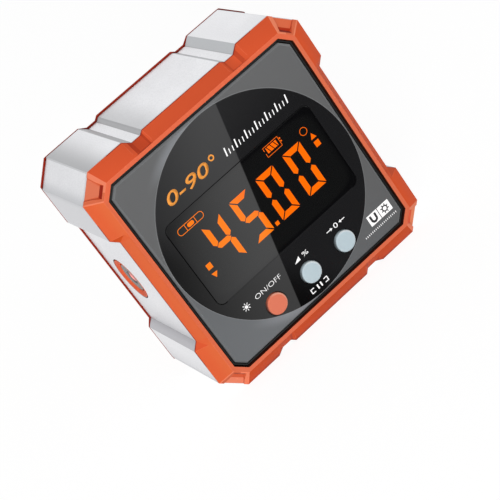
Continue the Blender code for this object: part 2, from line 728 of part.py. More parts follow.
def build_panel():
    """The grey panel with its raised lens disc, the window opening and the button holes."""
    cut = narrowed_cut(LIP_CUT, PANEL_GROOVE)
    edge = gauge_outline(PANEL_INSET, cut, 0.0)
    bevelled = gauge_outline(PANEL_INSET + PANEL_BEVEL, narrowed_cut(cut, PANEL_BEVEL), 0.0)
    mesh = section_mesh("face_panel", [
        (PANEL_FRONT_Y, bevelled), (PANEL_FRONT_Y + PANEL_BEVEL, edge), (PANEL_BACK_Y, edge),
    ])
    panel = add_piece("face_panel", mesh, "panel_print")

    disc = bmesh.new()
    front = PANEL_FRONT_Y - DISC_RISE
    place = Matrix.Translation((0, front, 0)) @ Matrix.Rotation(-math.pi / 2, 4, "X")
    add_turned(disc, [
        (DISC_RADIUS - DISC_BEVEL, 0.0),
        (DISC_RADIUS, DISC_BEVEL),
        (DISC_RADIUS, DISC_RISE + PANEL_THICKNESS / 2),
    ], FINE_SEGMENTS, place)
    shape_with(panel, "lens_disc", finish_mesh("lens_disc", disc), "UNION")

    cuts = bmesh.new()
    opening = rectangle_outline(WINDOW_WIDTH, WINDOW_HEIGHT, WINDOW_CORNER)
    add_sections(cuts, [(FRONT_Y - COVER_DEPTH, opening), (LEDGE_FRONT_Y, opening)])
    places = [(x, BUTTON_ROW_Z) for x in button_places().values()]
    hole = BUTTON_RADIUS + BUTTON_CLEARANCE
    add_rods(cuts, places, [(hole, FRONT_Y - COVER_DEPTH), (hole, LEDGE_FRONT_Y)], ROUND_SEGMENTS)
    shape_with(panel, "panel_openings", finish_mesh("panel_openings", cuts), "DIFFERENCE")


def build_window():
    outline = rectangle_outline(WINDOW_WIDTH - 2 * WINDOW_GAP, WINDOW_HEIGHT - 2 * WINDOW_GAP,
                                WINDOW_CORNER - WINDOW_GAP)
    front = PANEL_FRONT_Y - DISC_RISE + WINDOW_DROP
    add_piece("display_window", plate_mesh("display_window", outline, front, PANEL_BACK_Y), "dark_window")


def build_gasket():
    """The L-shaped black ring that the panel lies on, with a rim that shows in the groove."""
    outer = gauge_outline(GASKET_INSET, narrowed_cut(LIP_CUT, GAP), 0.0)
    rim_inner = gauge_outline(GASKET_RIM_INSET, narrowed_cut(LIP_CUT, PANEL_GROOVE - GAP), 0.0)
    inner = gauge_outline(GASKET_INSET + GASKET_REACH, narrowed_cut(LIP_CUT, GAP + GASKET_REACH), 0.0)
    rim_front = PANEL_FRONT_Y + GASKET_RIM_DROP
    add_piece("panel_gasket", section_mesh("panel_gasket", [
        (GASKET_BACK_Y, outer),
        (rim_front, outer),
        (rim_front, rim_inner),
        (GASKET_FRONT_Y, rim_inner),
        (GASKET_FRONT_Y, inner),
        (GASKET_BACK_Y, inner),
    ], closed_loop=True), "black_rubber")


def build_display():
    """Display glass, its light guide, the holder round both and the contact strip."""
    glass = rectangle_outline(LCD_WIDTH, LCD_HEIGHT)
    add_piece("lcd_glass", plate_mesh("lcd_glass", glass, LCD_FRONT_Y, LCD_BACK_Y), "glass")

    strip_base = -LCD_HEIGHT / 2
    light_base = strip_base + CONTACT_STRIP_HEIGHT + GAP
    light_height = LCD_HEIGHT / 2 - light_base
    light = rectangle_outline(LCD_WIDTH, light_height, centre=(0.0, light_base + light_height / 2))
    guide = plate_mesh("lcd_backlight", light, LIGHT_FRONT_Y, LIGHT_BACK_Y)
    add_piece("lcd_backlight", guide, "white_plastic")
    strip = rectangle_outline(CONTACT_STRIP_WIDTH, CONTACT_STRIP_HEIGHT,
                              centre=(0.0, strip_base + CONTACT_STRIP_HEIGHT / 2))
    add_piece("lcd_contact_strip", plate_mesh("lcd_contact_strip", strip, LIGHT_FRONT_Y, LIGHT_BACK_Y),
              "black_rubber")

    inner = rectangle_outline(LCD_WIDTH + 2 * GAP, LCD_HEIGHT + 2 * GAP)
    margin = 2 * (GAP + LCD_FRAME_WALL)
    outer = rectangle_outline(LCD_WIDTH + margin, LCD_HEIGHT + margin)
    add_piece("lcd_frame", section_mesh("lcd_frame", [
        (LCD_FRONT_Y, outer), (LIGHT_BACK_Y, outer), (LIGHT_BACK_Y, inner), (LCD_FRONT_Y, inner),
    ], closed_loop=True), "white_plastic")


def build_buttons():
    """Three push buttons, each with its origin on its sliding axis, and their switches."""
    front = PANEL_FRONT_Y - DISC_RISE - BUTTON_RISE
    flange_front = PANEL_BACK_Y + GAP - front
    flange_back = flange_front + BUTTON_FLANGE_THICKNESS
    switch_back = BOARD_FRONT_Y - GAP
    plunger_front = switch_back - SWITCH_BODY_HEIGHT - PLUNGER_HEIGHT
    stem_back = plunger_front - BUTTON_TRAVEL - GAP - front
    mid_bevel = BUTTON_BEVEL * (1 - math.sqrt(0.5))
    profile = [
        (BUTTON_RADIUS - BUTTON_BEVEL, 0.0),
        (BUTTON_RADIUS - mid_bevel, mid_bevel),
        (BUTTON_RADIUS, BUTTON_BEVEL),
        (BUTTON_RADIUS, flange_front),
        (BUTTON_FLANGE_RADIUS, flange_front),
        (BUTTON_FLANGE_RADIUS, flange_back),
        (BUTTON_STEM_RADIUS, flange_back),
        (BUTTON_STEM_RADIUS, stem_back),
    ]
    for name, x in button_places().items():
        finish = "button_orange" if name == "power" else "blue_grey_plastic"
        mesh = turned_mesh(f"{name}_button", profile, ROUND_SEGMENTS)
        add_piece(f"{name}_button", mesh, finish, (x, front, BUTTON_ROW_Z), (-math.pi / 2, 0, 0), True)

        body = rectangle_outline(SWITCH_WIDTH, SWITCH_WIDTH)
        body_front = switch_back - SWITCH_BODY_HEIGHT
        switch_mesh = plate_mesh(f"{name}_switch", body, body_front - switch_back, 0.0)
        switch = add_piece(f"{name}_switch", switch_mesh, "chip_black", (x, switch_back, BUTTON_ROW_Z))
        plunger = rods_mesh(f"{name}_plunger", [(0.0, 0.0)], PLUNGER_RADIUS, plunger_front - switch_back,
                            -SWITCH_BODY_HEIGHT / 2, SMALL_SEGMENTS)
        helper = shape_with(switch, f"{name}_plunger", plunger, "UNION")
        helper.location = (x, switch_back, BUTTON_ROW_Z)


def board_outline():
    """The board fills the bezel, with its corners cut back from the bosses."""
    half_x = WIDTH / 2 - BOARD_INSET
    half_z = HEIGHT / 2 - BOARD_INSET
    boss_x, boss_z = boss_places()[0]
    cut = half_x + half_z - boss_x - boss_z + math.sqrt(2) * (BOSS_RADIUS + GAP)
    return [
        (half_x - cut, half_z), (half_x, half_z - cut), (half_x, cut - half_z), (half_x - cut, -half_z),
        (cut - half_x, -half_z), (-half_x, cut - half_z), (-half_x, half_z - cut), (cut - half_x, half_z),
    ]


def build_board():
    """The main board with its screws, chips and battery connector."""
    board_mesh = plate_mesh("main_board", board_outline(), BOARD_FRONT_Y, BOARD_BACK_Y)
    board = add_piece("main_board", board_mesh, "board_green")
    holes = rods_mesh("board_holes", post_places(), BOARD_SCREW_RADIUS + GAP, BOARD_FRONT_Y - GAP,
                      BOARD_BACK_Y + GAP, SMALL_SEGMENTS)
    shape_with(board, "board_holes", holes, "DIFFERENCE")

    seat = BOARD_BACK_Y + GAP
    for name, size, height, x, z in (
        ("processor_chip", PROCESSOR_SIZE, PROCESSOR_HEIGHT, PROCESSOR_X, PROCESSOR_Z),
        ("tilt_sensor", SENSOR_SIZE, SENSOR_HEIGHT, SENSOR_X, SENSOR_Z),
    ):
        mesh = plate_mesh(name, rectangle_outline(size, size), 0.0, height)
        add_piece(name, mesh, "chip_black", (x, seat, z))
    connector = plate_mesh("battery_connector", rectangle_outline(CONNECTOR_WIDTH, CONNECTOR_HEIGHT),
                           0.0, CONNECTOR_DEPTH)
    add_piece("battery_connector", connector, "white_plastic", (0, seat, CONNECTOR_Z))

    shank = BOARD_SCREW_LENGTH
    profile = [
        (BOARD_SCREW_RADIUS, -shank), (BOARD_SCREW_RADIUS, 0.0),
        (BOARD_SCREW_HEAD_RADIUS, 0.0), (BOARD_SCREW_HEAD_RADIUS, BOARD_SCREW_HEAD_HEIGHT * HEAD_SIDE_SHARE),
        (BOARD_SCREW_HEAD_RADIUS * HEAD_TOP_SHARE, BOARD_SCREW_HEAD_HEIGHT),
    ]
    mesh = turned_mesh("board_screw", profile, SMALL_SEGMENTS)
    for index, (x, z) in enumerate(post_places(), start=1):
        add_piece(f"board_screw_{index}", mesh, "steel", (x, seat, z), (-math.pi / 2, 0, 0), True)


def build_socket():
    """The charging socket: a thin shell with a tongue, open towards the right side."""
    mouth = WIDTH / 2 - SIDE_RECESS_DEPTH - SOCKET_SETBACK
    shell = side_prism("usb_socket", stadium_points(SOCKET_WIDTH, SOCKET_HEIGHT), -SOCKET_LENGTH, 0.0)
    place = (mouth, socket_y(), SOCKET_Z)
    socket = add_piece("usb_socket", shell, "nickel", place)
    inner = stadium_points(SOCKET_WIDTH - 2 * SOCKET_WALL, SOCKET_HEIGHT - 2 * SOCKET_WALL)
    hollow = side_prism("socket_hollow", inner, -SOCKET_POCKET, SOCKET_WALL)
    shape_with(socket, "socket_hollow", hollow, "DIFFERENCE").location = place
    half_y = SOCKET_TONGUE_HEIGHT / 2
    half_z = SOCKET_TONGUE_WIDTH / 2
    tongue = box_mesh("socket_tongue", (-SOCKET_POCKET - SOCKET_WALL, -half_y, -half_z),
                      (-SOCKET_TONGUE_DROP, half_y, half_z))
    shape_with(socket, "socket_tongue", tongue, "UNION").location = place


def build_rear_screws():
    """Four pan-head screws with a cross slot, through the rear cover into the bezel's bosses."""
    profile = [
        (SCREW_RADIUS, -SCREW_LENGTH), (SCREW_RADIUS, 0.0), (SCREW_HEAD_RADIUS, 0.0),
        (SCREW_HEAD_RADIUS, SCREW_HEAD_HEIGHT * HEAD_SIDE_SHARE),
        (SCREW_HEAD_RADIUS * HEAD_TOP_SHARE, SCREW_HEAD_HEIGHT),
    ]
    slot = bmesh.new()
    half_long = SCREW_SLOT_LENGTH / 2
    half_wide = SCREW_SLOT_WIDTH / 2
    base = SCREW_HEAD_HEIGHT - SCREW_SLOT_DEPTH
    plus = [
        (half_wide, half_wide), (half_wide, half_long), (-half_wide, half_long),
        (-half_wide, half_wide), (-half_long, half_wide), (-half_long, -half_wide),
        (-half_wide, -half_wide), (-half_wide, -half_long), (half_wide, -half_long),
        (half_wide, -half_wide), (half_long, -half_wide), (half_long, half_wide),
    ]
    rings = []
    for level in (base, 2 * SCREW_HEAD_HEIGHT):
        rings.append([slot.verts.new((x, y, level)) for x, y in plus])
    bridge(slot, rings[0], rings[1])
    cap(slot, rings[0])
    cap(slot, rings[1])
    slot_mesh = finish_mesh("screw_slot", slot)
    mesh = turned_mesh("rear_screw", profile, SMALL_SEGMENTS)
    turn = (-math.pi / 2, 0, 0)
    for index, (x, z) in enumerate(boss_places(), start=1):
        place = (x, screw_head_y(), z)
        screw = add_piece(f"rear_screw_{index}", mesh, "steel", place, turn, True)
        helper = shape_with(screw, f"screw_slot_{index}", slot_mesh, "DIFFERENCE")
        helper.location = place
        helper.rotation_euler = turn


def build_battery():
    battery_back = REAR_INSIDE_Y - 2 * GAP - BATTERY_PAD_THICKNESS
    outline = rectangle_outline(BATTERY_WIDTH, BATTERY_HEIGHT, BATTERY_CORNER)
    add_piece("battery_cell", plate_mesh("battery_cell", outline, -BATTERY_THICKNESS, 0.0),
              "battery_film", (0, battery_back, 0))
    pad = rectangle_outline(BATTERY_WIDTH - 2 * BATTERY_PAD_MARGIN, BATTERY_HEIGHT - 2 * BATTERY_PAD_MARGIN)
    add_piece("battery_pad", plate_mesh("battery_pad", pad, 0.0, BATTERY_PAD_THICKNESS),
              "foam", (0, battery_back + GAP, 0))


def build_lasers():
    """On each side an orange dished ring, a grey laser module in its bore and the lens."""
    wall = FRAME_WALL - SIDE_RECESS_DEPTH
    ring_profile = [
        (RING_RADIUS - RING_RIM, 0.0),
        (RING_RADIUS, 0.0),
        (RING_RADIUS, wall + GAP),
        (RING_FLANGE_RADIUS, wall + GAP),
        (RING_FLANGE_RADIUS, wall + GAP + RING_FLANGE_THICKNESS),
        (RING_BORE, wall + GAP + RING_FLANGE_THICKNESS),
        (RING_BORE, RING_SINK_DEPTH),
    ]
    pocket_radius = LENS_RADIUS + GAP
    barrel_back = MODULE_SETBACK + MODULE_LENGTH
    module_profile = [
        (pocket_radius, MODULE_SETBACK + MODULE_POCKET_DEPTH),
        (pocket_radius, MODULE_SETBACK),
        (RING_BORE - GAP, MODULE_SETBACK),
        (RING_BORE - GAP, barrel_back),
        (MODULE_CAN_RADIUS, barrel_back),
        (MODULE_CAN_RADIUS, barrel_back + MODULE_CAN_LENGTH),
    ]
    lens_back = MODULE_SETBACK + MODULE_POCKET_DEPTH - GAP
    lens_edge = lens_back - LENS_EDGE
    lens_profile = [(LENS_RADIUS, lens_back), (LENS_RADIUS, lens_edge)]
    for step in range(1, LENS_STEPS + 1):
        angle = math.pi / 2 * step / (LENS_STEPS + 1)
        lens_profile.append((LENS_RADIUS * math.cos(angle), lens_edge - LENS_CROWN * math.sin(angle)))
    for side, word in ((-1, "left"), (1, "right")):
        place = laser_place(side)
        location = place.to_translation()
        rotation = place.to_euler()
        ring = turned_mesh(f"laser_ring_{word}", ring_profile, ROUND_SEGMENTS, closed_loop=True)
        add_piece(f"laser_ring_{word}", ring, "orange_plastic", location, rotation, True)
        module = turned_mesh(f"laser_module_{word}", module_profile, PLAIN_SEGMENTS)
        add_piece(f"laser_module_{word}", module, "laser_grey", location, rotation, True)
        lens = turned_mesh(f"laser_lens_{word}", lens_profile, PLAIN_SEGMENTS)
        add_piece(f"laser_lens_{word}", lens, "lens_red", location, rotation, True)


def build_magnets():
    mesh = turned_mesh("magnet", [(MAGNET_RADIUS, 0.0), (MAGNET_RADIUS, MAGNET_THICKNESS)], SMALL_SEGMENTS)
    for index, place in enumerate(magnet_places(), start=1):
        add_piece(f"magnet_{index}", mesh, "nickel", place.to_translation(), place.to_euler(), True)


clear_scene()
GAUGE_CENTRE = bpy.data.objects.new("gauge_centre", None)
bpy.context.scene.collection.objects.link(GAUGE_CENTRE)
GAUGE_CENTRE.location = (0, 0, HEIGHT / 2)

build_frame()
build_bezel()
build_rear_cover()
build_panel()
build_window()
build_gasket()
build_display()
build_buttons()
build_board()
build_socket()
build_rear_screws()
build_battery()
build_lasers()
build_magnets()
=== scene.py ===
"""Looks for the square digital angle gauge: camera, studio, finishes and the print on its face."""

import json
import math

import bmesh
import bpy
from mathutils import Matrix, Vector

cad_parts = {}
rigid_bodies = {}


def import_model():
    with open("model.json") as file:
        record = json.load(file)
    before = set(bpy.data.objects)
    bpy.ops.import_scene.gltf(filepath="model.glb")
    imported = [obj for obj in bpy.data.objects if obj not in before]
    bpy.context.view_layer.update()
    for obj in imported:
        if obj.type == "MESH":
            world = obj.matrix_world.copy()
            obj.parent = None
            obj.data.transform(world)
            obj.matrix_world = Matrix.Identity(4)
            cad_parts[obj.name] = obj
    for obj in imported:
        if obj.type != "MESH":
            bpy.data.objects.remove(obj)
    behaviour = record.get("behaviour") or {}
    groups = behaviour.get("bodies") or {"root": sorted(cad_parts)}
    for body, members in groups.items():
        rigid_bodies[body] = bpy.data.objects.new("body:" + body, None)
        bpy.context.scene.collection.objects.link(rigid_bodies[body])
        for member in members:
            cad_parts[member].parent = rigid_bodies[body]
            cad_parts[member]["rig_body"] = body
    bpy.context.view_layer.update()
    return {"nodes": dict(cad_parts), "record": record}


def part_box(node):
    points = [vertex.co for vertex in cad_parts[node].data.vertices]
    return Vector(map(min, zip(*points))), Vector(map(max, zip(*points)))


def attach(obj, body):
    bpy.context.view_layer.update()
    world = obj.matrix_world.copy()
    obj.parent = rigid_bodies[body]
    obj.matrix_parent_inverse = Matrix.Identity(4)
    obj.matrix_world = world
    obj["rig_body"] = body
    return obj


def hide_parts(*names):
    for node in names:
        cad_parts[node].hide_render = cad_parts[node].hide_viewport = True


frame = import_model()

MM = 0.001

# The middle and the front of the face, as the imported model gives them.
PANEL_LOW, PANEL_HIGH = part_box("face_panel")
FACE_X = (PANEL_LOW.x + PANEL_HIGH.x) / 2
FACE_Z = (PANEL_LOW.z + PANEL_HIGH.z) / 2
DISC_FRONT = PANEL_LOW.y
WINDOW_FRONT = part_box("display_window")[0].y

# The round gloss disc, and how far it stands proud of the grey panel round it.
DISC_RADIUS = 24.45 * MM
DISC_RISE = 0.1 * MM
PANEL_FRONT = DISC_FRONT + DISC_RISE

# The print stands this much proud of what carries it, and is sunk this much into it.
PRINT_PROUD = 0.02 * MM
PRINT_SUNK = 0.03 * MM


class Value:
    """A number or colour on its way through a finish. Arithmetic on it adds Math nodes."""

    def __init__(self, finish, socket):
        self.finish = finish
        self.socket = socket

    def _math(self, operation, *terms, clamp=False):
        settings = {"operation": operation, "use_clamp": clamp}
        return self.finish.node("ShaderNodeMath", settings, dict(enumerate(terms)))

    def __add__(self, other):
        return self._math("ADD", self, other)

    def __radd__(self, other):
        return self._math("ADD", other, self)

    def __sub__(self, other):
        return self._math("SUBTRACT", self, other)

    def __rsub__(self, other):
        return self._math("SUBTRACT", other, self)

    def __mul__(self, other):
        return self._math("MULTIPLY", self, other)

    def __rmul__(self, other):
        return self._math("MULTIPLY", other, self)

    def __truediv__(self, other):
        return self._math("DIVIDE", self, other)

    def __rtruediv__(self, other):
        return self._math("DIVIDE", other, self)

    def __pow__(self, other):
        return self._math("POWER", self, other)

    def __abs__(self):
        return self._math("ABSOLUTE", self)

    def __gt__(self, other):
        return self._math("GREATER_THAN", self, other)

    def __lt__(self, other):
        return self._math("LESS_THAN", self, other)

    def least(self, other):
        """The smaller of the two."""
        return self._math("MINIMUM", self, other)

    def clamped(self):
        """The value held between 0 and 1."""
        return self._math("ADD", self, 0.0, clamp=True)

    def ease(self, low, high, start=0.0, end=1.0):
        """start below low, end above high, and a soft change between them."""
        settings = {"interpolation_type": "SMOOTHSTEP"}
        inputs = {"Value": self, "From Min": low, "From Max": high, "To Min": start, "To Max": end}
        return self.finish.node("ShaderNodeMapRange", settings, inputs)


class Finish:
    """One material of the gauge and the nodes that make it."""

    def __init__(self, name, tree=None):
        if tree is None:
            self.material = bpy.data.materials.new(name)
            self.material.use_nodes = True
            tree = self.material.node_tree
        self.tree = tree
        self.tree.nodes.clear()

    def node(self, kind, settings=None, inputs=None, output=0):
        """Any node: its type, its settings, and the values or links of its sockets."""
        made = self.tree.nodes.new(kind)
        for name, setting in (settings or {}).items():
            setattr(made, name, setting)
        for key, value in (inputs or {}).items():
            if isinstance(value, Value):
                self.tree.links.new(value.socket, made.inputs[key])
            else:
                made.inputs[key].default_value = value
        return Value(self, made.outputs[output] if made.outputs else None)

    def place(self):
        """Where the point is on the object, in metres."""
        return self.node("ShaderNodeTexCoord", output="Object")

    def split(self, vector):
        """The x, y and z of a vector."""
        parts = self.node("ShaderNodeSeparateXYZ", inputs={"Vector": vector}).socket.node
        return [Value(self, parts.outputs[axis]) for axis in "XYZ"]

    def grain(self, scale, detail=2.0, roughness=0.5):
        """Soft noise from 0 to 1, in features a metre: one number, or one for each axis."""
        scales = scale if isinstance(scale, tuple) else (scale, scale, scale)
        settings = {"operation": "MULTIPLY"}
        stretched = self.node("ShaderNodeVectorMath", settings, {0: self.place(), 1: scales})
        inputs = {"Vector": stretched, "Scale": 1.0, "Detail": detail, "Roughness": roughness}
        return self.node("ShaderNodeTexNoise", inputs=inputs)

    def edges(self):
        """Two masks: a piece's softened ridges and inner corners, for painted highlight and shade.
        """
        turned = self.node("ShaderNodeAttribute", {"attribute_name": "ridge_or_crease"}, output="Fac")
        return turned.clamped(), (turned * -1.0).clamped()

    def occluded(self, reach):
        """0 in the open and up to 1 in corners and slots, by ambient occlusion, for painted shade.
        """
        settings = {"samples": 6, "only_local": False}
        open_share = self.node("ShaderNodeAmbientOcclusion", settings, {"Distance": reach}, "AO")
        return 1.0 - open_share

    def facing(self):
        """The x, y and z of the direction that the surface faces."""
        return self.split(self.node("ShaderNodeNewGeometry", output="True Normal"))

    def mixed(self, mask, low, high):
        """The colour low where mask is 0 and high where it is 1."""
        inputs = {0: mask, 6: opaque(low), 7: opaque(high)}
        return self.node("ShaderNodeMix", {"data_type": "RGBA"}, inputs, 2)

    def bumped(self, height, distance, strength):
        """The direction of a surface that rises by distance where height is 1."""
        return self.node("ShaderNodeBump", inputs={"Height": height, "Distance": distance,
                                                   "Strength": strength})

    def surface(self, **sockets):
        """Ends the finish in a Principled shader. Socket names have _ for a space."""
        inputs = {name.replace("_", " "): opaque(value) for name, value in sockets.items()}
        shader = self.node("ShaderNodeBsdfPrincipled", inputs=inputs)
        self.node("ShaderNodeOutputMaterial", inputs={"Surface": shader})
        return self.material


def opaque(colour):
    """Three numbers become a colour with full alpha; anything else stays as it is."""
    return (*colour, 1.0) if isinstance(colour, tuple) and len(colour) == 3 else colour


# Finishes

# All places are told from the middle of the face: across it, up it, and in depth from the middle
# of the frame.

# The frame along the top and the base: where the corner facets start, where the ground pads end
# and the raised middle starts, the steps from the start of one pad to the next, and the length
# over which a pad carries painted shade.
CHAMFER_START = 24.9 * MM
PAD_END = 25.0 * MM
MIDDLE_START = 11.75 * MM
MIDDLE_SHIFT = 14.2 * MM
PAD_SHIFT = 26.65 * MM
PAD_SHADE_LENGTH = 8.0 * MM
# The frame up a side: where the floor of its recess ends, where a pad starts and ends, and how
# far out the slopes between them lie.
SIDE_FLOOR_END = 14.0 * MM
SIDE_PAD_START = 15.6 * MM
SIDE_PAD_END = 25.0 * MM
SIDE_SLOPE_OUT = 27.0 * MM
# The notches in the upper and lower facets of the covers, and how deep in a cover starts.
NOTCH_START = 11.3 * MM
NOTCH_END = 15.0 * MM
NOTCH_HEIGHT = 25.5 * MM
COVER_START = 11.5 * MM
# How far out the wall round the face stands.
INNER_WALL_OUT = 25.0 * MM
# The straight rim of each cover beside the frame.
SEAM_MIDDLE = 12.28 * MM
SEAM_HALF = 0.22 * MM
# From CORNER_START outwards both ways a cover has its corner facets. A facet is where across + up
# is CORNER_PLANE at its rim, and less by CORNER_FALL for every millimetre from the rim on.
CORNER_START = 20.0 * MM
CORNER_PLANE = 55.0 * MM
CORNER_RIM = 12.45 * MM
CORNER_FALL = 1.804
# Half the width of a corner facet, told by across - up, how much it narrows with every
# millimetre from the rim on, its edge of painted highlight, and half the width of its pocket's
# neck.
FACET_HALF = 5.0 * MM
FACET_TAPER = 0.863
FACET_EDGE = 0.45 * MM
POCKET_NECK = 2.2 * MM
# The same for the floor of the pocket, and the band of painted shade beside its walls.
POCKET_START = 12.29 * MM
POCKET_HALF = 3.40 * MM
POCKET_TAPER = 1.10
POCKET_BAND = 0.50 * MM
# From this depth on the floor carries painted shade, and from less deep at the right and below:
# by the two lengths that follow, less the last one where both hold.
SHADE_START = 14.0 * MM
SHADE_RIGHT = 0.7 * MM
SHADE_BELOW = 0.9 * MM
SHADE_BOTH = 0.6 * MM
# The display behind the window.
DISPLAY_HALF_WIDTH = 19.5 * MM
DISPLAY_HALF_HEIGHT = 10.0 * MM


def milled_aluminium():
    """Satin aluminium with painted shade at pad ends, on corner facets and slopes, and in corners.
    """
    finish = Finish("milled_aluminium")
    x, _, z = finish.split(finish.place())
    across, up = x - FACE_X, z - FACE_Z
    facing_x, _, facing_z = finish.facing()
    ridge, crease = finish.edges()
    lines = finish.grain((2600.0, 260.0, 2600.0), 3.0)
    speck = finish.grain(3300.0, 3.0, 0.7).ease(0.30, 0.70)
    cloud = finish.grain((90.0, 60.0, 90.0)).ease(0.30, 0.70)
    corner = (abs(across) > CHAMFER_START) * (abs(up) > CHAMFER_START)
    slope = abs(facing_x).least(abs(facing_z)).ease(0.15, 0.30) * (1.0 - corner)
    upright = abs(facing_z).ease(0.60, 0.80)
    sideways = abs(facing_x).ease(0.60, 0.80)

    # On the top and the base, painted shade at each pad's left end, less the further right.
    past_first, past_middle = across > -MIDDLE_START, across > MIDDLE_START
    along = across + PAD_END - past_first * MIDDLE_SHIFT - past_middle * PAD_SHIFT
    share = 1.0 - past_first * 0.40 - past_middle * 0.55
    pad_shade = along.ease(0.0, PAD_SHADE_LENGTH, 1.0, 0.0) * (along > -0.3 * MM) * upright * share

    # Up the sides, painted shade: upper pads, lines beside the corner facets, and the low ends.
    near_corner = (up - SIDE_PAD_END).ease(0.0, 2.4 * MM, 1.0, 0.0) * (up > SIDE_PAD_END)
    side_pad = (abs(up) > SIDE_PAD_START) * sideways * (1.0 - corner)
    rims = abs(abs(up) - SIDE_PAD_END).ease(0.0, 1.6 * MM, 1.0, 0.0) * (abs(across) > PAD_END)
    recess_end = (up + SIDE_FLOOR_END).ease(0.0, 9.0 * MM, 1.0, 0.0) * (up > -SIDE_FLOOR_END)
    pad_end = (up + SIDE_PAD_END).ease(-1.0 * MM, 7.5 * MM, 1.0, 0.0) * (up < -SIDE_FLOOR_END)
    low_end = (recess_end + pad_end) * sideways

    tone = finish.mixed(lines * 0.25 + speck * 0.45 + cloud * 0.30, (0.68, 0.683, 0.705),
                        (0.90, 0.90, 0.92))
    # Painted shade over the grain, on the corner facets, the side pads, their lines and the pad
    # ends.
    tone = finish.mixed(corner * (0.16 + near_corner * 0.40), tone, (0.50, 0.51, 0.53))
    tone = finish.mixed((side_pad * (up > 0.0) * 0.50 + low_end * 0.40).clamped(), tone,
                        (0.50, 0.50, 0.525))
    tone = finish.mixed(rims * 0.30, tone, (0.36, 0.37, 0.39))
    tone = finish.mixed(pad_shade * 0.80, tone, (0.33, 0.335, 0.345))

    # Painted shade on the cut slopes: those of the grooves lighter to the right, those of the
    # recesses in the sides darker towards their floors.
    to_right = across.ease(-20.0 * MM, 16.0 * MM)
    groove_slope_shade = finish.mixed(to_right, (0.36, 0.36, 0.37), (0.47, 0.485, 0.50))
    inner_end = (abs(up) - SIDE_FLOOR_END).ease(0.0, 1.2 * MM, 1.0, 0.0)
    side_slope_shade = finish.mixed(inner_end, (0.48, 0.475, 0.50), (0.39, 0.385, 0.41))
    cut = finish.mixed(abs(across) > SIDE_SLOPE_OUT, groove_slope_shade, side_slope_shade)
    tone = finish.mixed(slope * 0.85, tone, cut)

    # Rounded ridges a darker grey; painted shade in inner corners, and by ambient occlusion in
    # slots.
    tone = finish.mixed(ridge * 0.40, tone, (0.45, 0.46, 0.47))
    tone = finish.mixed(crease * 0.55, tone, (0.25, 0.25, 0.255))
    tone = finish.mixed(finish.occluded(0.8 * MM).ease(0.35, 0.85) * 0.6, tone,
                        (0.22, 0.215, 0.21))
    rough = 0.32 + lines * 0.10 + cloud * 0.06 + slope * 0.10
    return finish.surface(Base_Color=tone, Metallic=1.0, Roughness=rough,
                          Normal=finish.bumped(lines * 0.6 + speck * 0.4, 0.004 * MM, 0.5))


def corner_tone(finish, depth, across, up, at_right, below):
    """A cover's corner facet with painted highlight, and its pocket floor with painted shade."""

    def by_corner(upper_left, lower_left, upper_right, lower_right):
        return finish.mixed(at_right, finish.mixed(below, upper_left, lower_left),
                            finish.mixed(below, upper_right, lower_right))

    aside = across - up
    # Painted highlight on the facet's flats, in a lit tone for each corner; on one side a darker
    # tone narrows it to a line.
    facet = by_corner((0.80, 0.220, 0.119), (0.92, 0.250, 0.130),
                      (0.98, 0.285, 0.150), (0.98, 0.285, 0.150))
    facet_half = FACET_HALF - (depth - CORNER_RIM) * FACET_TAPER
    inside = (facet_half - aside - FACET_EDGE).ease(-0.05 * MM, 0.05 * MM) * (aside > 0.0) * (
        1.0 - at_right * below)
    facet = finish.mixed(inside, facet, finish.mixed(at_right, (0.62, 0.132, 0.058),
                                                     (0.82, 0.171, 0.072)))
    # The pocket's floor in a lit tone for each corner, with painted shade beside its walls and
    # deep in it.
    floor = by_corner((0.654, 0.172, 0.090), (0.85, 0.253, 0.145),
                      (0.82, 0.171, 0.072), (0.98, 0.310, 0.140))
    half = POCKET_HALF - (depth - POCKET_START) * POCKET_TAPER
    band = (abs(aside) - half + POCKET_BAND).ease(0.0, 0.1 * MM) * (1.0 - at_right) * (
        1.0 - below * (aside < 0.0))
    floor = finish.mixed(band, floor, (0.62, 0.132, 0.058))
    shade = by_corner((0.45, 0.020, 0.0), (0.66, 0.110, 0.040),
                      (0.45, 0.020, 0.0), (0.93, 0.115, 0.035))
    shade_start = (SHADE_START - at_right * SHADE_RIGHT - below * SHADE_BELOW
                   + at_right * below * SHADE_BOTH)
    floor = finish.mixed((depth - shade_start).ease(0.0, 0.12 * MM), floor, shade)
    fall = CORNER_PLANE - (depth - CORNER_RIM) * CORNER_FALL - across - up
    neck = at_right * below * (abs(aside) < POCKET_NECK)
    sunk = (fall.ease(0.15 * MM, 0.30 * MM) + neck).clamped()
    return finish.mixed(sunk, facet, floor)


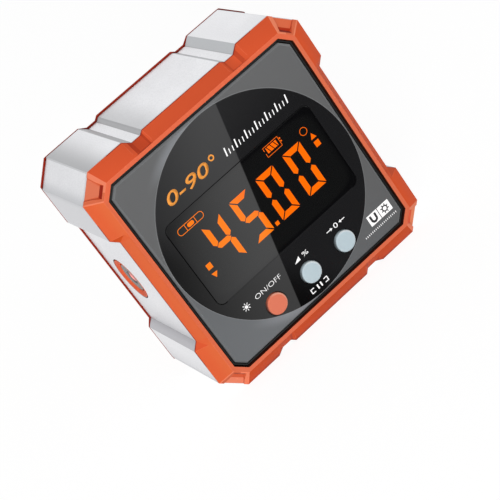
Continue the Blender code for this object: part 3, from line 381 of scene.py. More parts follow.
def orange_moulding():
    """Orange plastic with its mould's fine sparked texture, and painted light and shade on it."""
    finish = Finish("orange_moulding")
    x, y, z = finish.split(finish.place())
    facing_x, facing_y, facing_z = finish.facing()
    ridge, crease = finish.edges()
    spark = finish.grain(4600.0, 3.0, 0.6)
    cloud = finish.grain(70.0)
    rightward, upward, depth = x - FACE_X, z - FACE_Z, abs(y)
    across, up = abs(rightward), abs(upward)
    at_right, below = x > FACE_X, z < FACE_Z

    # Where on a cover the point is, and which way its surface leans.
    cover = depth > COVER_START
    notch = (across > NOTCH_START) * (across < NOTCH_END) * (up > NOTCH_HEIGHT)
    upper = facing_z.ease(0.20, 0.50)
    lower = (facing_z * -1.0).ease(0.20, 0.50)
    right = facing_x.ease(0.20, 0.50) * (1.0 - upper) * cover
    left = (facing_x * -1.0).ease(0.20, 0.50) * (1.0 - upper) * (1.0 - lower) * cover
    level = (facing_y * -1.0).ease(0.955, 0.995)
    in_corner = (across > CORNER_START) * (up > CORNER_START)
    corner = abs(facing_x).least(abs(facing_z)).ease(0.28, 0.38) * in_corner

    # Painted light and shade by facing: the four long facets each in their own tone, darker in the
    # upper left notch; the lip round the face lighter along the top and darker at its left; the
    # corners.
    tone = finish.mixed(spark * 0.5 + cloud * 0.5, (0.72, 0.094, 0.028), (0.84, 0.126, 0.040))
    tone = finish.mixed(upper * (0.30 + notch * (0.50 - at_right * 0.58)) * cover, tone,
                        (0.50, 0.050, 0.012))
    tone = finish.mixed(lower * cover * 0.90, tone, (0.593, 0.062, 0.0))
    tone = finish.mixed(right * 0.75, tone, (0.88, 0.098, 0.014))
    beside_lip = across.ease(26.8 * MM, 29.0 * MM, 1.0, 0.0)
    tone = finish.mixed(left * 0.85, tone, finish.mixed(beside_lip, (0.706, 0.1155, 0.034),
                                                        (0.700, 0.137, 0.042)))
    lip = finish.mixed(rightward.ease(-27.5 * MM, -24.5 * MM), (0.690, 0.140, 0.055),
                       (0.705, 0.158, 0.075))
    lip = finish.mixed(upward.ease(23.0 * MM, 24.5 * MM), lip, (0.76, 0.148, 0.066))
    tone = finish.mixed(level * cover * 0.85, tone, lip)
    tone = finish.mixed(corner * cover * (1.0 - level) * 0.88, tone,
                        corner_tone(finish, depth, across, up, at_right, below))
    # Painted highlight on the rounded ridges.
    tone = finish.mixed(ridge * 0.55, tone, (0.95, 0.25, 0.125))

    # Painted shade: the ends of the notches, the walls of the pockets, creases, corners and slots
    # by ambient occlusion, and the covers' rims beside the frame.
    notch_end = abs(facing_x).ease(0.15, 0.30) * notch * cover
    wall = corner * abs(facing_y).ease(0.32, 0.60, 1.0, 0.0) * cover
    side_wall = (facing_x * facing_z * rightward * upward < 0.0) * 0.62
    seam = abs(depth - SEAM_MIDDLE).ease(SEAM_HALF, SEAM_HALF + 0.05 * MM, 1.0, 0.0)
    front_corner = in_corner * (y < 0.0)
    occlusion_shade = finish.occluded(1.1 * MM).ease(0.22, 0.80)
    painted_shade = (wall * (0.9 - side_wall) * (1.0 - front_corner * seam)
             + notch_end * 0.42 + crease * 0.30
             + occlusion_shade * (0.6 - front_corner * 0.35)
             + seam * (0.8 - front_corner * 0.8) * (1.0 - right)).clamped()
    tone = finish.mixed(painted_shade, tone, (0.27, 0.009, 0.001))
    # Painted shade: the inner walls round the face turned nearly black.
    inward = (facing_x * rightward + facing_z * upward) * (-1.0 / INNER_WALL_OUT)
    inner_wall = inward.ease(0.60, 0.80) * (y < -COVER_START)
    tone = finish.mixed(inner_wall * 0.92, tone, (0.018, 0.008, 0.006))
    return finish.surface(Base_Color=tone, Roughness=0.50 + spark * 0.14, IOR=1.45,
                          Specular_IOR_Level=0.24,
                          Normal=finish.bumped(spark, 0.012 * MM, 0.6))


def face_print():
    """Grey satin print round a gloss black disc, told apart by the distance from the middle."""
    finish = Finish("face_print")
    x, _, z = finish.split(finish.place())
    across, up = x - FACE_X, z - FACE_Z
    facing_x, _, facing_z = finish.facing()
    out = (across ** 2.0 + up ** 2.0) ** 0.5
    fleck = finish.grain(6000.0)
    cloud = finish.grain(45.0)
    ridge, _ = finish.edges()

    # The grey round the disc, painted lighter low on the face, with painted highlight in its
    # narrow slivers and on its bevel.
    low = (across * -0.45 - up * 0.9).ease(0.0, 30.0 * MM)
    grey = finish.mixed(fleck * 0.5 + cloud * 0.5, (0.108, 0.109, 0.110), (0.128, 0.131, 0.134))
    grey = finish.mixed(low * 0.8, grey, (0.134, 0.145, 0.155))
    sliver = out.ease(DISC_RADIUS, DISC_RADIUS + 2.5 * MM, 1.0, 0.0) * abs(up).ease(
        18.0 * MM, 23.0 * MM) * across.ease(0.0, 6.0 * MM, 1.0, 0.0)
    grey = finish.mixed(sliver * 0.75, grey, (0.25, 0.26, 0.28))
    bevel = (abs(facing_x) + abs(facing_z)).ease(0.25, 0.55)
    bright = facing_x.ease(-0.10, 0.50)
    edge = finish.mixed(bright, (0.178, 0.185, 0.190), (0.33, 0.35, 0.36))
    grey = finish.mixed((bevel * 0.7 + ridge * 0.5).clamped(), grey, edge)

    # The gloss disc with painted reflection and shade: paler high up, blacker to the left, with a
    # thin painted highlight at its rim.
    disc = out.ease(DISC_RADIUS - 0.02 * MM, DISC_RADIUS + 0.03 * MM, 1.0, 0.0)
    high = (across * -0.35 + up * 0.95).ease(4.0 * MM, 25.0 * MM)
    left = (across * 0.8 + up * 0.6).ease(-18.0 * MM, -8.0 * MM, 1.0, 0.0)
    black = finish.mixed(cloud, (0.012, 0.012, 0.013), (0.015, 0.015, 0.016))
    black = finish.mixed(high * 0.6, black, (0.030, 0.030, 0.031))
    black = finish.mixed(left * 0.8, black, (0.002, 0.002, 0.002))
    rim = out.ease(DISC_RADIUS - 0.05 * MM, DISC_RADIUS, 0.0, 1.0) * out.ease(
        DISC_RADIUS + 0.05 * MM, DISC_RADIUS + 0.16 * MM, 1.0, 0.0)
    tone = finish.mixed(rim * 0.35, finish.mixed(disc, grey, black), (0.36, 0.37, 0.38))
    rough = (0.42 + fleck * 0.06) * (1.0 - disc) + 0.012
    return finish.surface(Base_Color=tone, Roughness=rough.clamped(), IOR=1.53,
                          Normal=finish.bumped(fleck * (1.0 - disc), 0.006 * MM, 0.4))


def dark_window():
    """The polished dark pane, a little clouded where the display lies behind it."""
    finish = Finish("dark_window")
    x, _, z = finish.split(finish.place())
    cloud = finish.grain(120.0)
    across, up = (x - FACE_X) / DISPLAY_HALF_WIDTH, (z - FACE_Z) / DISPLAY_HALF_HEIGHT
    display = (across ** 8.0 + up ** 8.0).ease(0.7, 1.4, 1.0, 0.0)
    tone = finish.mixed(display, (0.0040, 0.0040, 0.0045), (0.0072, 0.0074, 0.0076))
    return finish.surface(Base_Color=tone, Roughness=0.012 + cloud * 0.008, IOR=1.66)


def satin_button(name, low, high, edge):
    """Satin plastic with painted highlight on one side of its rim, painted shade on the other."""
    finish = Finish(name)
    fleck = finish.grain(4200.0, 3.0)
    cloud = finish.grain(400.0)
    ridge, crease = finish.edges()
    facing_x, _, facing_z = finish.facing()
    # Painted highlight on the rim's lit side; painted shade on its other side and in creases.
    lit = (facing_x * 0.85 + facing_z * 0.30).ease(-0.05, 0.45)
    shade = (facing_x * 0.85 + facing_z * 0.10).ease(-0.75, -0.25, 1.0, 0.0)
    tone = finish.mixed(fleck * 0.5 + cloud * 0.5, low, high)
    tone = finish.mixed(ridge * lit, tone, edge)
    tone = finish.mixed((shade * 0.75 + crease * 0.6).clamped(), tone, (0.04, 0.04, 0.04))
    return finish.surface(Base_Color=tone, Roughness=0.40 + fleck * 0.12, IOR=1.46,
                          Normal=finish.bumped(fleck, 0.006 * MM, 0.4))


def plain_finish(name, low, high, size, rough, metallic=0.0, bump=0.005, detail=2.0):
    """Two close tones in a fine grain, for parts that show little or are held inside."""
    finish = Finish(name)
    fleck = finish.grain(size, detail)
    tone = finish.mixed(fleck, low, high)
    return finish.surface(Base_Color=tone, Metallic=metallic,
                          Roughness=(rough + fleck * 0.12).clamped(),
                          Normal=finish.bumped(fleck, bump * MM, 0.5))


def circuit_green():
    """Solder mask with copper runs under it and pale pads."""
    finish = Finish("circuit_green")
    runs = finish.grain((900.0, 900.0, 60.0), 1.0)
    across = finish.grain((60.0, 900.0, 900.0), 1.0)
    copper = (runs.ease(0.52, 0.55) + across.ease(0.56, 0.59)).clamped()
    tone = finish.mixed(copper * 0.6, (0.010, 0.085, 0.030), (0.035, 0.190, 0.065))
    return finish.surface(Base_Color=tone, Roughness=0.28 + copper * 0.08, IOR=1.5,
                          Normal=finish.bumped(copper, 0.02 * MM, 0.5))


def red_lens():
    """Deep red glass with the lit spot of the laser in its middle."""
    finish = Finish("red_lens")
    _, y, z = finish.split(finish.place())
    low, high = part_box("laser_lens_left")
    middle_y, middle_z, radius = (low.y + high.y) / 2, (low.z + high.z) / 2, (high.z - low.z) / 2
    out = (((y - middle_y) ** 2.0 + (z - middle_z) ** 2.0) ** 0.5) / radius
    lit = out.ease(0.1, 0.9, 1.0, 0.0)
    speck = finish.grain(1500.0)
    tone = finish.mixed(speck, (0.32, 0.010, 0.010), (0.46, 0.018, 0.016))
    glow = finish.mixed(lit, (0.10, 0.0, 0.0), (1.0, 0.16, 0.12))
    return finish.surface(Base_Color=tone, Roughness=0.05 + speck * 0.04, IOR=1.52,
                          Emission_Color=glow, Emission_Strength=0.8)


def lit_amber():
    """The display's lit orange strokes, unevenly backlit, with painted reflection paler to the
    left.
    """
    finish = Finish("lit_amber")
    x, _, z = finish.split(finish.place())
    left = (x - FACE_X + (z - FACE_Z) * 0.3).ease(-4.0 * MM, 0.0, 1.0, 0.0)
    cloud = finish.grain(160.0)
    dots = finish.grain(3000.0, 1.0)
    glow = finish.mixed(cloud * 0.7 + dots * 0.3, (1.0, 0.130, 0.0), (1.0, 0.185, 0.004))
    # Painted reflection: paler strokes to the left.
    glow = finish.mixed(left, glow, (0.97, 0.225, 0.0))
    return finish.surface(Base_Color=(0.35, 0.05, 0.0), Roughness=0.08 + dots * 0.05, IOR=1.4,
                          Emission_Color=glow, Emission_Strength=0.72)


def printed_ink(name, low, high, glow=0.0):
    """Ink printed on the face, slightly grainy at its edges, with a little painted glow if bright.
    """
    finish = Finish(name)
    fleck = finish.grain(5200.0, 3.0)
    tone = finish.mixed(fleck, low, high)
    return finish.surface(Base_Color=tone, Roughness=0.30 + fleck * 0.15, IOR=1.45,
                          Emission_Color=tone, Emission_Strength=glow,
                          Normal=finish.bumped(fleck, 0.004 * MM, 0.4))


FINISHES = {
    "aluminium": milled_aluminium(),
    "orange_plastic": orange_moulding(),
    "panel_print": face_print(),
    "dark_window": dark_window(),
    "black_rubber": plain_finish("black_rubber", (0.006, 0.006, 0.006), (0.015, 0.015, 0.015),
                                 2500.0, 0.55, bump=0.02),
    # The last colour of each button is the painted highlight on its rim.
    "button_orange": satin_button("power_button_orange", (0.70, 0.165, 0.088),
                                  (0.76, 0.195, 0.108), (0.92, 0.42, 0.30)),
    "blue_grey_plastic": satin_button("button_blue_grey", (0.49, 0.60, 0.65),
                                      (0.53, 0.64, 0.69), (0.80, 0.86, 0.88)),
    "glass": plain_finish("display_glass", (0.20, 0.23, 0.22), (0.25, 0.28, 0.26),
                          300.0, 0.04, bump=0.001),
    "white_plastic": plain_finish("white_plastic", (0.68, 0.68, 0.65), (0.76, 0.76, 0.73),
                                  1800.0, 0.42, bump=0.006),
    "board_green": circuit_green(),
    "chip_black": plain_finish("chip_black", (0.012, 0.012, 0.013), (0.022, 0.022, 0.024),
                               3800.0, 0.50, bump=0.01),
    "steel": plain_finish("screw_steel", (0.48, 0.48, 0.49), (0.60, 0.60, 0.61),
                          (900.0, 900.0, 4200.0), 0.26, metallic=1.0),
    "nickel": plain_finish("nickel_plate", (0.60, 0.59, 0.56), (0.70, 0.69, 0.66),
                           400.0, 0.14, metallic=1.0, bump=0.002),
    "battery_film": plain_finish("battery_film", (0.46, 0.48, 0.52), (0.56, 0.58, 0.61),
                                 (220.0, 900.0, 220.0), 0.30, metallic=0.6, bump=0.03),
    "foam": plain_finish("cell_foam", (0.035, 0.035, 0.04), (0.07, 0.07, 0.075),
                         2600.0, 0.75, bump=0.10, detail=4.0),
    "laser_grey": plain_finish("laser_grey", (0.16, 0.16, 0.155), (0.21, 0.21, 0.205),
                               3000.0, 0.38, bump=0.006),
    "lens_red": red_lens(),
}
LIT_AMBER = lit_amber()
ORANGE_INK = printed_ink("orange_ink", (0.86, 0.30, 0.035), (0.98, 0.39, 0.065))
# The white ink has a little painted glow.
WHITE_INK = printed_ink("white_ink", (0.88, 0.88, 0.88), (0.96, 0.96, 0.96), glow=0.22)
DARK_INK = printed_ink("dark_ink", (0.030, 0.031, 0.033), (0.05, 0.05, 0.055))

SLOT_OF = {part["node"]: part["material_slot"] for part in frame["record"]["subparts"]}


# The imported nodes: each gets its finish, and the outer ones a copy with softened edges.

# The least turn between two faces that counts: as a fold, a step of a curve, an edge to round,
# and an edge that stays sharp in the shading.
EVEN_ANGLE = math.radians(0.5)
LEVEL_ANGLE = math.radians(0.6)
HARD_ANGLE = math.radians(20.0)
SHARP_ANGLE = math.radians(40.0)
FLAT, CURVED, ROUNDED = 0, 1, 2


def bulges(face):
    """True where a face stands proud of its neighbours, as on a ridge and not in a corner."""
    middle = face.calc_center_median()
    rise = 0.0
    for edge in face.edges:
        for other in edge.link_faces:
            if other is not face:
                point = (edge.verts[0].co + edge.verts[1].co) / 2
                away = other.normal.dot((point - middle).normalized())
                rise += away * edge.calc_length()
    return rise > 0.0


def soften(node, width):
    """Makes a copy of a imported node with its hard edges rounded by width, to stand for it."""
    source = frame["nodes"][node]
    work = bmesh.new()
    work.from_mesh(source.data)
    bmesh.ops.remove_doubles(work, verts=work.verts, dist=0.001 * MM)
    bmesh.ops.dissolve_limit(work, angle_limit=EVEN_ANGLE, verts=work.verts, edges=work.edges)
    hard = [edge for edge in work.edges if edge.calc_face_angle(0.0) > HARD_ANGLE]
    for face in work.faces:
        turns = [edge.calc_face_angle(0.0) for edge in face.edges]
        curved = any(LEVEL_ANGLE < turn < HARD_ANGLE for turn in turns)
        face.material_index = CURVED if curved else FLAT
    bmesh.ops.bevel(work, geom=hard, offset=width, segments=2, profile=0.5,
                    affect="EDGES", clamp_overlap=True, material=ROUNDED)
    # ridge_or_crease: 1 on rounded ridges, -1 in inner corners, for painted highlight and shade.
    ridge_or_crease = work.faces.layers.float.new("ridge_or_crease")
    for face in work.faces:
        if face.material_index == ROUNDED:
            face[ridge_or_crease] = 1.0 if bulges(face) else -1.0
        face.smooth = face.material_index != FLAT
        face.material_index = 0
    for edge in work.edges:
        edge.smooth = edge.calc_face_angle(0.0) < SHARP_ANGLE
    mesh = bpy.data.meshes.new("soft_" + node)
    work.to_mesh(mesh)
    work.free()
    piece = add_piece("soft_" + node, mesh, FINISHES[SLOT_OF[node]],
                      source["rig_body"])
    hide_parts(node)


def add_piece(name, mesh, material, body):
    """Puts a mesh in the scene with its finish and the body that it rides on."""
    piece = bpy.data.objects.new(name, mesh)
    bpy.context.scene.collection.objects.link(piece)
    piece.data.materials.clear()
    piece.data.materials.append(material)
    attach(piece, body)
    return piece


# How far the edges of each node that shows are rounded, in millimetres.
SOFT_EDGES = {
    "frame_body": 0.08, "front_bezel": 0.11, "rear_cover": 0.11, "face_panel": 0.04,
    "display_window": 0.03, "panel_gasket": 0.06, "power_button": 0.16, "hold_button": 0.16,
    "zero_button": 0.16, "laser_ring_left": 0.10, "laser_ring_right": 0.10,
    "laser_module_left": 0.06, "laser_module_right": 0.06, "laser_lens_left": 0.06,
    "laser_lens_right": 0.06, "usb_socket": 0.06,
}


def dress_nodes():
    """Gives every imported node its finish, then softens the ones that show."""
    for name, node in frame["nodes"].items():
        node.data.materials.clear()
        node.data.materials.append(FINISHES[SLOT_OF[name]])
    for name, width in SOFT_EDGES.items():
        soften(name, width * MM)


def around(ring):
    """Each item of a closed ring with the one after it."""
    return zip(ring, ring[1:] + ring[:1])


def finish_piece(name, work, material):
    """Turns a bmesh into a piece that rides on the case."""
    bmesh.ops.recalc_face_normals(work, faces=work.faces)
    mesh = bpy.data.meshes.new(name)
    work.to_mesh(mesh)
    work.free()
    add_piece(name, mesh, material, "case")


def straight_bars(name, outlines, depth, slot):
    """One piece of straight bars: closed outlines that run back by depth."""
    work = bmesh.new()
    run = Vector((0.0, depth, 0.0))
    for corners in outlines:
        near = [work.verts.new(corner) for corner in corners]
        far = [work.verts.new(corner + run) for corner in corners]
        work.faces.new(near)
        work.faces.new(far[::-1])
        for (near_a, near_b), (far_a, far_b) in zip(around(near), around(far)):
            work.faces.new((near_b, near_a, far_a, far_b))
    finish_piece(name, work, FINISHES[slot])


def window_foot():
    """The strip that the window rests on: it closes the seam under the window."""
    low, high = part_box("display_window")
    inset, gap, depth = 1.9 * MM, 0.18 * MM, 0.3 * MM
    level = WINDOW_FRONT - 0.02 * MM
    corners = [Vector((x, level, z)) for x, z in (
        (low.x + inset, low.z), (high.x - inset, low.z),
        (high.x - inset, low.z - gap), (low.x + inset, low.z - gap))]
    straight_bars("window_foot", [corners], depth, "panel_print")


def rear_corner_rims():
    """The rear cover's rim across its four corners, a little proud of the frame."""
    plane = CORNER_PLANE / math.sqrt(2.0)
    from_back, depth = 2.8 * MM, 0.26 * MM
    middle = Vector((FACE_X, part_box("rear_cover")[1].y - from_back, FACE_Z))
    # Across a corner facet, and out from its plane, in millimetres.
    profile = ((-3.2, -0.35), (-3.5, -0.02), (-3.15, 0.32), (3.15, 0.32), (3.5, -0.02),
               (3.2, -0.35))
    outlines = []
    for side_x, side_z in ((1, 1), (-1, 1), (-1, -1), (1, -1)):
        out = Vector((side_x, 0.0, side_z)).normalized()
        along = Vector((side_x, 0.0, -side_z)).normalized()
        outlines.append([middle + along * (step * MM) + out * (plane + rise * MM)
                         for step, rise in profile])
    straight_bars("rear_corner_rims", outlines, depth, "orange_plastic")


# Marks on the face. Their places and sizes are in millimetres, from the middle of the face.

DOT_SIDES = 32
LOOP_SIDES = 40
ARCH_SIDES = 12
BEND_STEPS = 6
RAYS = 8


class Marks:
    """Thin raised shapes that end up as one piece: x runs right and z up across the face."""

    def __init__(self, name, level, material, slot):
        self.name = name
        self.material = material
        self.slot = slot
        self.front = level - PRINT_PROUD
        self.back = level + PRINT_SUNK
        self.work = bmesh.new()

    def _ring(self, corners, level):
        return [self.work.verts.new((FACE_X + x * MM, level, FACE_Z + z * MM)) for x, z in corners]

    def shape(self, corners):
        """A filled outline, given anticlockwise as the reader sees it or the other way."""
        area = sum(a[0] * b[1] - b[0] * a[1] for a, b in around(corners))
        if area < 0:
            corners = corners[::-1]
        front = self._ring(corners, self.front)
        back = self._ring(corners, self.back)
        self.work.faces.new(front)
        self.work.faces.new(back[::-1])
        for (front_a, front_b), (back_a, back_b) in zip(around(front), around(back)):
            self.work.faces.new((front_a, back_a, back_b, front_b))

    def band(self, outer, inner):
        """A closed line between two outlines with the same number of corners."""
        rings = [self._ring(outer, self.front), self._ring(inner, self.front),
                 self._ring(inner, self.back), self._ring(outer, self.back)]
        for i in range(len(outer)):
            j = (i + 1) % len(outer)
            for first, second in around(rings):
                self.work.faces.new((first[i], first[j], second[j], second[i]))

    def bar(self, left, low, right, high):
        """An upright rectangle."""
        self.shape([(left, low), (right, low), (right, high), (left, high)])

    def line(self, start, end, width):
        """A straight stroke of this width."""
        dx, dz = end[0] - start[0], end[1] - start[1]
        length = math.hypot(dx, dz)
        nx, nz = -dz / length * width / 2, dx / length * width / 2
        self.shape([(start[0] + nx, start[1] + nz), (start[0] - nx, start[1] - nz),
                    (end[0] - nx, end[1] - nz), (end[0] + nx, end[1] + nz)])

    def dot(self, x, z, radius):
        """A filled round."""
        self.shape(round_outline(x, z, radius, DOT_SIDES))

    def loop(self, x, z, radius, line):
        """A round line whose middle runs at the radius."""
        self.band(round_outline(x, z, radius + line / 2, LOOP_SIDES),
                  round_outline(x, z, radius - line / 2, LOOP_SIDES))

    def rays(self, x, z, inner, outer, width, turned=0.0):
        """Short strokes round a point, turned by a share of the step between two."""
        for ray in range(RAYS):
            turn = math.tau * (ray + turned) / RAYS
            across, up = math.cos(turn), math.sin(turn)
            self.line((x + across * inner, z + up * inner),
                      (x + across * outer, z + up * outer), width)

    def words(self, text, x, z, height, width, slant=0.0, weight=0.0):
        """Plain figures or ON and OFF in Blender's own type, its lower left corner at x, z."""
        curve = bpy.data.curves.new(self.name + "_type", "FONT")
        curve.body = text
        curve.shear = slant
        curve.offset = weight
        curve.resolution_u = 4
        letters = bpy.data.objects.new(self.name + "_type", curve)
        bpy.context.scene.collection.objects.link(letters)
        flat = bpy.data.meshes.new_from_object(
            letters.evaluated_get(bpy.context.evaluated_depsgraph_get()))
        bpy.data.objects.remove(letters)
        rights = [vertex.co.x for vertex in flat.vertices]
        heights = [vertex.co.y for vertex in flat.vertices]
        low_x, low_y = min(rights), min(heights)
        up = height / (max(heights) - low_y)
        across = width / (max(rights) - low_x)
        work = bmesh.new()
        work.from_mesh(flat)
        bmesh.ops.remove_doubles(work, verts=work.verts, dist=1e-5)
        bmesh.ops.dissolve_limit(work, angle_limit=math.radians(1.0), verts=work.verts,
                                 edges=work.edges)
        solid = bmesh.ops.extrude_face_region(work, geom=work.faces[:])
        raised = {item for item in solid["geom"] if isinstance(item, bmesh.types.BMVert)}
        for vertex in work.verts:
            vertex.co = Vector((
                FACE_X + (x + (vertex.co.x - low_x) * across) * MM,
                self.front if vertex in raised else self.back,
                FACE_Z + (z + (vertex.co.y - low_y) * up) * MM))
        bmesh.ops.recalc_face_normals(work, faces=work.faces)
        work.to_mesh(flat)
        work.free()
        self.work.from_mesh(flat)
        bpy.data.meshes.remove(flat)

    def done(self):
        """Turns the marks into one piece."""
        finish_piece(self.name, self.work, self.material)


def round_outline(x, z, radius, sides):
    """A closed round outline with this many sides."""
    turn = math.tau / sides
    return [(x + radius * math.cos(i * turn), z + radius * math.sin(i * turn))
            for i in range(sides)]


def half_round(x, z, radius):
    """The points of the lower half of a round, from right to left."""
    turn = math.pi / ARCH_SIDES
    return [(x + radius * math.cos(i * turn), z - radius * math.sin(i * turn))
            for i in range(ARCH_SIDES + 1)]


def rounded_bar(left, low, right, high, radius):
    """The outline of a bar with rounded corners."""
    corners = ((right - radius, high - radius, 0.0), (left + radius, high - radius, 0.25),
               (left + radius, low + radius, 0.5), (right - radius, low + radius, 0.75))
    outline = []
    for x, z, start in corners:
        for step in range(BEND_STEPS + 1):
            turn = math.tau * (start + 0.25 * step / BEND_STEPS)
            outline.append((x + radius * math.cos(turn), z + radius * math.sin(turn)))
    return outline


# The figures of the display: the cell of each, the width of a stroke and the cut of its ends,
# the points where the upper and the lower strokes meet the bar, and the bar between them.
CELL_WIDTH = 4.95
CELL_TOP = 5.5
CELL_LOW = -5.8
STROKE = 1.35
MITRE = 0.20
UPPER_POINT = 0.05
LOWER_POINT = -0.5
BAR_HIGH = 0.40
BAR_LOW = -0.90
BAR_INSET = 0.6
STROKES_OF = {"0": "abcdef", "4": "bcfg", "5": "acdfg"}
FIGURES = (("4", -13.8), ("5", -5.9), ("0", 1.65), ("0", 9.45))


def stroke_outlines(left):
    """The seven strokes of a figure whose cell starts at left."""
    right = left + CELL_WIDTH
    inner_left, inner_right = left + STROKE, right - STROKE
    bar_left, bar_right = left + BAR_INSET, right - BAR_INSET
    bar_middle = (BAR_HIGH + BAR_LOW) / 2
    bar_half = (BAR_HIGH - BAR_LOW) / 2
    half = STROKE / 2

    def upper(outer, inner):
        middle = (outer + inner) / 2
        return [(outer, CELL_TOP - MITRE), (inner, CELL_TOP - STROKE - MITRE),
                (inner, UPPER_POINT + half), (middle, UPPER_POINT), (outer, UPPER_POINT + half)]

    def lower(outer, inner):
        middle = (outer + inner) / 2
        return [(outer, CELL_LOW + MITRE), (outer, LOWER_POINT - half), (middle, LOWER_POINT),
                (inner, LOWER_POINT - half), (inner, CELL_LOW + STROKE + MITRE)]

    return {
        "a": [(left + MITRE, CELL_TOP), (right - MITRE, CELL_TOP),
              (inner_right - MITRE, CELL_TOP - STROKE), (inner_left + MITRE, CELL_TOP - STROKE)],
        "b": upper(right, inner_right),
        "c": lower(right, inner_right),
        "d": [(left + MITRE, CELL_LOW), (inner_left + MITRE, CELL_LOW + STROKE),
              (inner_right - MITRE, CELL_LOW + STROKE), (right - MITRE, CELL_LOW)],
        "e": lower(left, inner_left),
        "f": upper(left, inner_left),
        "g": [(bar_left, bar_middle), (bar_left + bar_half, BAR_LOW),
              (bar_right - bar_half, BAR_LOW), (bar_right, bar_middle),
              (bar_right - bar_half, BAR_HIGH), (bar_left + bar_half, BAR_HIGH)],
    }


def display_figures():
    """The reading 45.00 with its point and degree ring."""
    marks = Marks("display_figures", WINDOW_FRONT, LIT_AMBER, "dark_window")
    for figure, left in FIGURES:
        outlines = stroke_outlines(left)
        for stroke in STROKES_OF[figure]:
            marks.shape(outlines[stroke])
    point = (-0.2, -5.7, 0.7, -4.8)
    marks.bar(*point)
    degree_ring = (16.4, 6.42, 0.86, 0.13)
    marks.loop(*degree_ring)
    marks.done()


def battery_sign(marks):
    """The outline of a battery lying down, with four slanting bars in it."""
    line = 0.11
    left, right, low, high = 6.84, 11.01, 7.24, 9.65
    for edge in (low, high - line):
        marks.bar(left, edge, right, edge + line)
    for start, end in ((7.40, 8.20), (8.80, 9.50)):
        marks.bar(left, start, left + line, end)
    marks.bar(right - line, 7.40, right, 9.50)
    for end in (8.05, 8.75):
        marks.bar(11.10, end, 11.42, end + 0.34)
    cell_low, cell_high, lean, slit = 7.92, 9.26, 0.48, 0.11
    edges = [7.42, 7.70, 8.66, 9.62, 10.32]
    last = len(edges) - 2
    for step, (left, right) in enumerate(zip(edges, edges[1:])):
        left_lean, left_slit = (lean, slit) if step > 0 else (0.0, 0.0)
        right_lean, right_slit = (lean, slit) if step < last else (0.0, 0.0)
        left, right = left + left_slit, right - right_slit
        marks.shape([(left + left_lean, cell_low), (right + right_lean, cell_low),
                     (right, cell_high), (left, cell_high)])


def vial_sign(marks):
    """A level's vial: a long rounded outline, a bubble and a line at each side of it."""
    line = 0.14
    left, low, right, high, radius = -18.3, 7.0, -11.4, 8.75, 0.8
    marks.band(rounded_bar(left, low, right, high, radius),
               rounded_bar(left + line, low + line, right - line, high - line, radius - line))
    marks.shape(rounded_bar(-15.7, 7.4, -14.0, 8.35, 0.47))
    for start in (-16.25, -13.6):
        marks.bar(start, 7.15, start + line, 8.6)


def display_symbols():
    """The small lit symbols: two turn arrows, a battery and a level's vial."""
    marks = Marks("display_symbols", WINDOW_FRONT, LIT_AMBER, "dark_window")
    marks.shape([(17.53, 5.01), (16.80, 3.66), (18.25, 3.64)])
    marks.bar(16.9, 1.6, 18.2, 3.0)
    marks.bar(-17.7, -2.8, -16.4, -1.4)
    marks.shape([(-17.73, -3.76), (-17.08, -5.07), (-16.22, -3.92)])
    battery_sign(marks)
    vial_sign(marks)
    marks.done()


def face_legend_orange():
    """Orange figures for the range, over the display."""
    marks = Marks("legend_orange", DISC_FRONT, ORANGE_INK, "panel_print")
    marks.words("0-90", -16.2, 13.35, 2.9, width=11.6, slant=0.22, weight=0.012)
    marks.loop(-3.2, 15.75, 0.55, 0.32)
    marks.done()


def ruler_ticks(marks):
    """A row of slanting ticks over the display, each third one long and wide."""
    start, pitch, foot, lean = -0.3, 0.96, 13.6, 0.2
    for step in range(19):
        x = start + step * pitch
        top, width = (15.5, 0.30) if step % 3 == 0 else (14.75, 0.20)
        shift = lean * (top - foot)
        marks.shape([(x, foot), (x + width, foot), (x + width + shift, top), (x + shift, top)])


def hold_sign(marks):
    """Two upright bars between brackets."""
    for left in (-0.75, 0.20):
        marks.bar(left, -23.3, left + 0.35, -22.2)
    middle, line = -0.1, 0.22
    for side in (-1, 1):
        outer, inner = middle + side * 2.35, middle + side * 1.45
        marks.line((outer, -23.30), (outer, -22.15), line)
        for z in (-23.20, -22.25):
            marks.line((outer, z), (inner, z), line)


def zero_sign(marks):
    """A 0 with an arrow to it from each side."""
    marks.words("0", 9.9, -15.35, 1.2, width=1.05)
    middle, z = 10.42, -14.75
    for side in (-1, 1):
        tip = middle + side * 0.95
        marks.line((tip + side * 0.5, z), (tip + side * 1.7, z), 0.18)
        marks.shape([(tip, z), (tip + side * 0.6, z + 0.37), (tip + side * 0.6, z - 0.37)])


def face_legend_white():
    """White scale over the display and the plain symbols beside the buttons."""
    marks = Marks("legend_white", DISC_FRONT, WHITE_INK, "panel_print")
    ruler_ticks(marks)
    marks.words("ON/OFF", -13.2, -15.25, 1.1, width=7.3, weight=-0.008)
    sun_x, sun_z = -15.9, -14.8
    marks.dot(sun_x, sun_z, 0.36)
    marks.rays(sun_x, sun_z, 0.5, 0.95, 0.15)
    marks.shape([(-1.9, -15.2), (-0.3, -15.2), (-0.3, -14.2)])
    marks.words("%", 0.6, -15.2, 1.05, width=1.5)
    hold_sign(marks)
    zero_sign(marks)
    marks.done()


